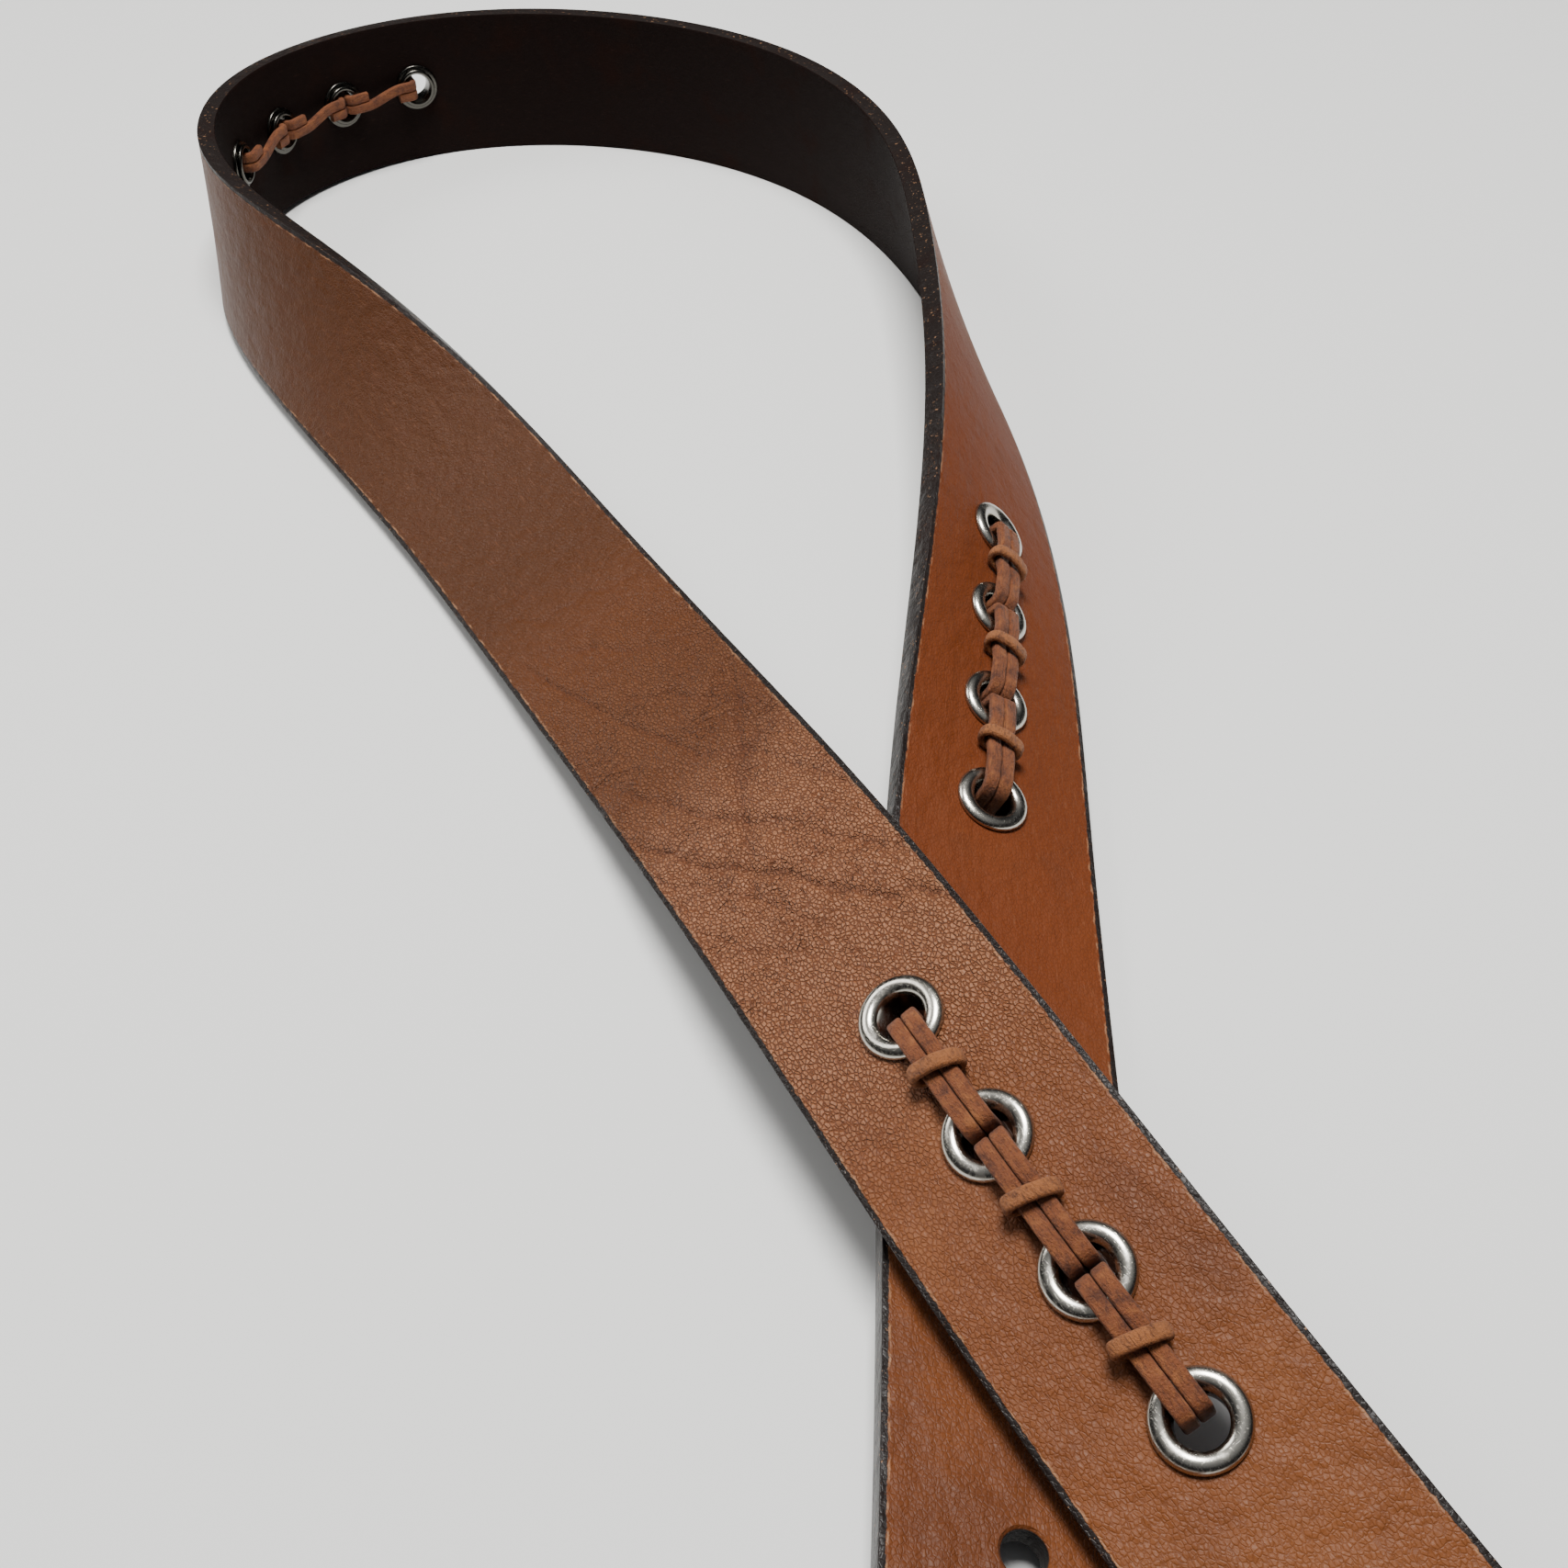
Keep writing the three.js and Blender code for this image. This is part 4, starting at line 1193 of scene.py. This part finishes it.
def flesh_finish(groups):
    """The back of the strap: dyed near black, napped and slightly mottled."""
    material, build, shader = new_material("dyed_flesh_leather")
    flat = flat_millimetres(build)
    patch = use_group(build, groups["patches"], Vector=flat, Size=14.0)
    fibre = use_group(build, groups["fibre"], Vector=flat, Length=1.8)
    colour = build.tint(FLESH_DARK, FLESH, patch["Pale"], 0.8)
    colour = build.tint(colour, FLESH, build.step(fibre["Nap"], 0.5, 0.7), 0.6)
    colour = build.tint(colour, FLESH_PALE, build.step(fibre["Fibre"], 0.62, 0.76), 0.35)
    build.put(shader["Base Color"], colour)
    build.put(shader["Roughness"], build.line(patch["Pale"], 0.12, 0.74))
    shader["Specular IOR Level"].default_value = 0.1
    surface = build.bump(fibre["Nap"], 0.12)
    build.put(shader["Normal"], build.bump(fibre["Fibre"], 0.1, surface))
    return material


def keeper_finish(groups):
    """The strap's leather with a pressed line and a dark edge along each side."""
    material, build, shader = new_material("keeper_leather")
    flat = flat_millimetres(build)
    grain = use_group(build, groups["grain"], Vector=flat, Pebble=0.6, Pores=0.4)
    patch = use_group(build, groups["patches"], Vector=flat, Size=12.0)
    along = build.node("SeparateXYZ", {0: flat}).outputs[0]
    from_middle = build.math("ABSOLUTE", build.math("SUBTRACT", along, float(KEEPER_AT)))
    colour = build.tint(LEATHER, LEATHER_PALE, patch["Pale"], 0.3)
    colour = build.tint(colour, LEATHER_DARK, patch["Dark"], 0.5)
    groove = span(build, from_middle, 3.35, 3.75, 0.18)
    colour = build.tint(colour, LEATHER_DARK, groove, 0.7)
    edge = build.step(from_middle, 4.45, 4.75)
    colour = build.blend(edge, colour, BURNT_EDGE)
    build.put(shader["Base Color"], colour)
    build.put(shader["Roughness"], build.line(grain["Height"], -0.12, 0.54))
    shader["Specular IOR Level"].default_value = 0.42
    surface = build.bump(grain["Height"], 0.06)
    build.put(shader["Normal"], build.bump(build.math("SUBTRACT", 1.0, groove), 0.3, surface))
    return material


def lace_finish(groups, name, tone, pale, size):
    """Napped lace in a tone, with pale and dark patches of a size."""
    material, build, shader = new_material(name)
    flat = flat_millimetres(build)
    fibre = use_group(build, groups["fibre"], Vector=flat, Length=1.4)
    patch = use_group(build, groups["patches"], Vector=flat, Size=size)
    colour = build.tint(tone, pale, patch["Pale"], 0.9)
    colour = build.tint(colour, LACE_DARK, patch["Dark"], 0.75)
    colour = build.tint(colour, pale, build.step(fibre["Nap"], 0.5, 0.68), 0.5)
    colour = build.tint(colour, LACE_DARK, build.step(fibre["Fibre"], 0.5, 0.36), 0.5)
    build.put(shader["Base Color"], colour)
    build.put(shader["Roughness"], build.line(patch["Pale"], 0.15, 0.6))
    shader["Specular IOR Level"].default_value = 0.3
    shader["Sheen Weight"].default_value = 0.06
    shader["Sheen Roughness"].default_value = 0.5
    surface = build.bump(fibre["Nap"], 0.3)
    surface = build.bump(fibre["Fibre"], 0.2, surface)
    build.put(shader["Normal"], surface)
    return material


def nickel_finish(groups, name, tone, roughness, haze, in_bore=0.0):
    """Polished metal with hair scratches and a slow tarnish, and painted shade down the bore of an
    eyelet.
    """
    material, build, shader = new_material(name)
    flat = flat_millimetres(build)
    scratch = use_group(build, groups["scratch"], Vector=flat, Amount=1.0)
    tarnish = build.step(scratch["Haze"], 0.5, 0.72)
    dull_tone = tuple(0.55 * part for part in tone)
    colour = build.tint(tone, dull_tone, tarnish, haze)
    height = build.node("SeparateXYZ", {0: flat}).outputs[2]
    # Painted shade: down the bore, below the crown, the metal turns near black.
    deep = build.times(build.step(height, EYELET_CROWN - 0.9, GRAIN - 0.4), in_bore)
    colour = build.blend(deep, colour, tuple(0.12 * part for part in tone))
    build.put(shader["Base Color"], colour)
    shader["Metallic"].default_value = 1.0
    rough = build.line(scratch["Scratch"], 0.12, roughness)
    build.put(shader["Roughness"], build.line(tarnish, 0.14, rough))
    surface = build.bump(scratch["Haze"], 0.004)
    build.put(shader["Normal"], build.bump(scratch["Scratch"], 0.004, surface))
    return material


def make_floor():
    bpy.ops.object.select_all(action="DESELECT")
    bpy.ops.mesh.primitive_plane_add(size=FLOOR_SIZE)
    floor = bpy.context.object
    floor.name = "floor"
    material, build, shader = new_material("pale_floor")
    place = build.node("TexCoord").outputs["Object"]
    tone = build.noise(place, 3.0, 3.0)
    build.put(shader["Base Color"], build.blend(tone, (0.78, 0.785, 0.77), (0.81, 0.81, 0.8)))
    shader["Roughness"].default_value = 0.9
    floor.data.materials.append(material)


# ---------------------------------------------------------------- the belt

make_camera()
make_lights()
make_floor()
ROUTE_CURVE = make_route()
GROUPS = {
    "grain": leather_grain_group(),
    "patches": worn_patches_group(),
    "fibre": suede_fibre_group(),
    "scratch": fine_scratch_group(),
}
METAL = nickel_finish(GROUPS, "polished_nickel", NICKEL, 0.17, 0.35)
make_strap(strap_leather_finish(GROUPS), flesh_finish(GROUPS))
make_eyelets(nickel_finish(GROUPS, "eyelet_nickel", NICKEL, 0.21, 0.3, 0.95))
make_lacing(lace_finish(GROUPS, "lace_leather", LACE, LACE_PALE, 2.4),
            lace_finish(GROUPS, "wrap_leather", LACE_PALE, LACE_PALE, 2.2))
make_frame(METAL)
make_prong(METAL)
make_keeper(keeper_finish(GROUPS))
make_screws(METAL)
bpy.data.objects.remove(ROUTE_CURVE)
